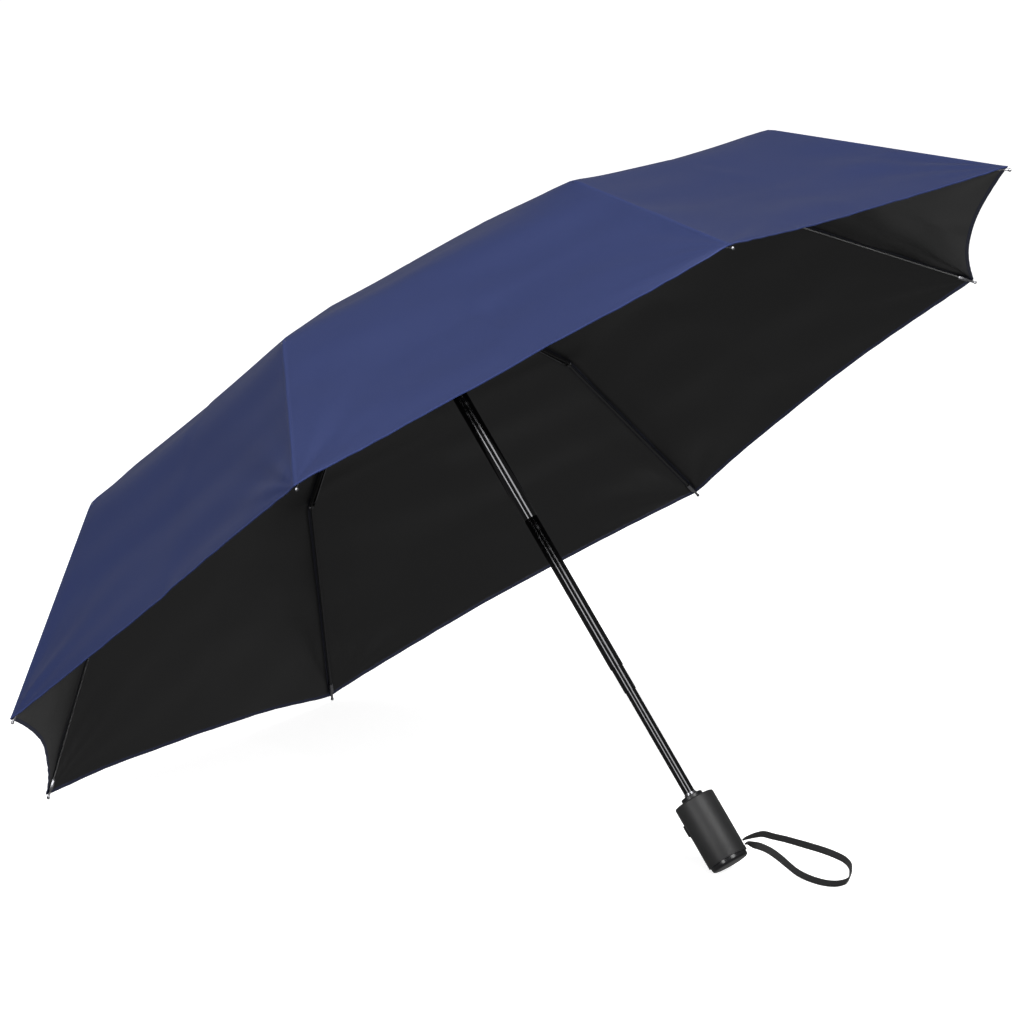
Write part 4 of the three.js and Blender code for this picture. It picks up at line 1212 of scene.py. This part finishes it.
class UMBRELLA_OT_strap(bpy.types.Operator):
    """Makes the flat wrist strap, out of its slot, round its loop and back."""

    bl_idname = "umbrella.strap"
    bl_label = "Wrist strap"

    def execute(self, context):
        look = context.scene.umbrella_strap
        path, flat = self.lie(look)
        mesh = self.tape(look, path, flat)
        piece = new_piece("wrist_strap_tape", mesh, "black_webbing", strap_webbing(look))
        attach(piece, "handle")
        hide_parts("wrist_strap")
        return {"FINISHED"}

    def lie(self, look):
        """The strap's middle line, and the direction of its width at each point."""
        azimuth = look.slot_azimuth
        outward = Vector((math.cos(azimuth), math.sin(azimuth), 0))
        shell = own_vertices("handle_shell")
        height = float(shell[:, 2].min()) + look.slot_above_bottom
        mouth = outward * look.slot_reach + Vector((0, 0, height))
        turn = OWN.to_3x3()
        centre = OWN @ mouth
        exits = [centre + UP * look.strand_gap * side for side in (0.5, -0.5)]
        lead = turn @ outward * 2.5 * MM
        route = [(centre.x + x, centre.y + y, z) for x, y, z in STRAP_ROUTE]
        points = [exits[0], exits[0] + lead, *route, exits[1] + lead, exits[1]]
        path = through([tuple(point) for point in points], 10)
        tangent = np.array(turn @ UP_AXIS.cross(outward))
        ways = np.gradient(path, axis=0)
        ways /= np.linalg.norm(ways, axis=1, keepdims=True)
        share = np.linspace(0, 1, len(path))
        twist = np.clip(np.minimum(share, 1 - share) / look.twist, 0, 1)
        twist = (twist * twist * (3 - 2 * twist))[:, None]
        lean = look.lean * np.sin(math.pi * 3 * share)[:, None]
        edge_on = np.array([0, 0, 1.0]) + lean * np.cross(ways, [0, 0, 1.0])
        sign = 1 if tangent[2] >= 0 else -1
        flat = (1 - twist) * sign * tangent + twist * edge_on
        flat -= ways * np.sum(flat * ways, axis=1, keepdims=True)
        flat /= np.linalg.norm(flat, axis=1, keepdims=True)
        return path, flat

    def tape(self, look, path, flat):
        """Tape with rolled edges, swept along the path with its width in the flat direction."""
        ways = np.gradient(path, axis=0)
        ways /= np.linalg.norm(ways, axis=1, keepdims=True)
        through_tape = np.cross(ways, flat)
        half, thin = look.width / 2, look.thickness / 2
        turns = np.arange(20) * 2 * math.pi / 20
        wide = np.sign(np.cos(turns)) * np.abs(np.cos(turns)) ** 0.45 * half
        deep = np.sign(np.sin(turns)) * np.abs(np.sin(turns)) ** 0.7 * thin
        widths = wide[None, :, None] * flat[:, None]
        depths = deep[None, :, None] * through_tape[:, None]
        sections = path[:, None] + widths + depths
        mesh = swept_mesh("wrist_strap_tape", path, sections)
        run = np.concatenate([[0], np.cumsum(np.linalg.norm(np.diff(path, axis=0), axis=1))])
        store(mesh, "along", np.repeat(run, len(turns)))
        store(mesh, "across", np.tile(wide, len(path)))
        return mesh


# ---------------------------------------------------------------- stage


CAMERA_TARGET = (0.00503, -0.00152, 0.26699)
LIT_CENTRE = (0, 0, 0.25)
OVERHEAD_PLACE = (-0.5, 0.9, 2.8)
FLOOR_HALF_WIDTH = 20


class UMBRELLA_OT_stage(bpy.types.Operator):
    """Makes the camera, the pale floor and the soft studio lights."""

    bl_idname = "umbrella.stage"
    bl_label = "Stage"

    def execute(self, context):
        look = context.scene.umbrella_stage
        self.camera(context, look)
        self.floor(look)
        self.lights(context, look)
        return {"FINISHED"}

    def camera(self, context, look):
        """A long lens, aimed at the middle of the umbrella."""
        target = Vector(CAMERA_TARGET)
        flat = math.cos(look.elevation)
        way = Vector(
            (
                math.cos(look.bearing) * flat,
                math.sin(look.bearing) * flat,
                math.sin(look.elevation),
            )
        )
        data = bpy.data.cameras.new("camera")
        data.lens = look.lens
        data.sensor_width = 36
        data.clip_start, data.clip_end = 0.1, 100
        camera = bpy.data.objects.new("camera", data)
        camera.location = target + way * look.distance
        camera.rotation_mode = "QUATERNION"
        camera.rotation_quaternion = (-way).to_track_quat("-Z", "Y")
        context.scene.collection.objects.link(camera)
        context.scene.camera = camera

    def floor(self, look):
        """A wide floor, hidden from diffuse and glossy rays so that it does not light the dark lining."""
        half = FLOOR_HALF_WIDTH
        corners = [(-half, -half, 0), (half, -half, 0), (half, half, 0), (-half, half, 0)]
        mesh = mesh_of("floor", corners, [(0, 1, 2, 3)], smooth=False)
        mesh.materials.append(floor_finish(tuple(look.floor), look.glow))
        floor = bpy.data.objects.new("floor", mesh)
        bpy.context.scene.collection.objects.link(floor)
        floor.visible_diffuse = False
        floor.visible_glossy = False

    def lights(self, context, look):
        """A dim room, a large light overhead and two tall softboxes that stand along the shaft."""
        world = bpy.data.worlds.new("studio")
        world.use_nodes = True
        background = world.node_tree.nodes["Background"]
        background.inputs["Color"].default_value = (1, 1, 1, 1)
        background.inputs["Strength"].default_value = look.room
        context.scene.world = world
        context.scene.view_settings.view_transform = "Standard"
        centre = Vector(LIT_CENTRE)
        facing = Vector((math.cos(look.bearing), math.sin(look.bearing), math.sin(look.elevation)))
        facing = (facing - UP * facing.dot(UP)).normalized()
        beside = UP.cross(facing)
        for name, turn, width, power in (
            ("softbox_near", look.near_turn, look.near_width, look.near_power),
            ("softbox_far", look.far_turn, look.far_width, look.far_power),
        ):
            way = facing * math.cos(turn) + beside * math.sin(turn)
            place = centre + way * look.softbox_distance
            self.area_light(name, place, centre, width, look.softbox_height, power)
        side = look.overhead_side
        self.area_light("overhead", OVERHEAD_PLACE, centre, side, side, look.overhead_power)

    def area_light(self, name, place, target, width, height, power):
        """A rectangular light whose long side lies along the shaft."""
        data = bpy.data.lights.new(name, "AREA")
        data.shape = "RECTANGLE"
        data.size, data.size_y = width, height
        data.energy = power
        light = bpy.data.objects.new(name, data)
        back = (Vector(place) - Vector(target)).normalized()
        side = UP.cross(back).normalized()
        turn = Matrix((side, back.cross(side), back)).transposed().to_4x4()
        light.matrix_world = Matrix.Translation(Vector(place)) @ turn
        bpy.context.scene.collection.objects.link(light)


# ---------------------------------------------------------------- add-on

SETTINGS = {
    "umbrella_canopy": CanopySettings,
    "umbrella_ribs": RibSettings,
    "umbrella_shaft": ShaftSettings,
    "umbrella_handle": HandleSettings,
    "umbrella_strap": StrapSettings,
    "umbrella_stage": StageSettings,
}
OPERATORS = (
    UMBRELLA_OT_stage,
    UMBRELLA_OT_strap,
    UMBRELLA_OT_canopy,
    UMBRELLA_OT_ribs,
    UMBRELLA_OT_shaft,
    UMBRELLA_OT_handle,
)


class UMBRELLA_PT_panel(bpy.types.Panel):
    """Lists the umbrella's settings and the steps that build it."""

    bl_idname = "UMBRELLA_PT_panel"
    bl_label = "Folding umbrella"
    bl_space_type = "VIEW_3D"
    bl_region_type = "UI"
    bl_category = "Umbrella"

    def draw(self, context):
        for name, group in SETTINGS.items():
            box = self.layout.box()
            for field in group.__annotations__:
                box.prop(getattr(context.scene, name), field)
        for operator in OPERATORS:
            self.layout.operator(operator.bl_idname)


def register():
    for settings in SETTINGS.values():
        bpy.utils.register_class(settings)
    for name, settings in SETTINGS.items():
        setattr(bpy.types.Scene, name, bpy.props.PointerProperty(type=settings))
    for operator in OPERATORS:
        bpy.utils.register_class(operator)
    bpy.utils.register_class(UMBRELLA_PT_panel)


def unregister():
    bpy.utils.unregister_class(UMBRELLA_PT_panel)
    for operator in reversed(OPERATORS):
        bpy.utils.unregister_class(operator)
    for name, settings in SETTINGS.items():
        delattr(bpy.types.Scene, name)
        bpy.utils.unregister_class(settings)


def main():
    register()
    for operator in OPERATORS:
        group, step = operator.bl_idname.split(".")
        getattr(getattr(bpy.ops, group), step)()


if __name__ == "__main__":
    main()
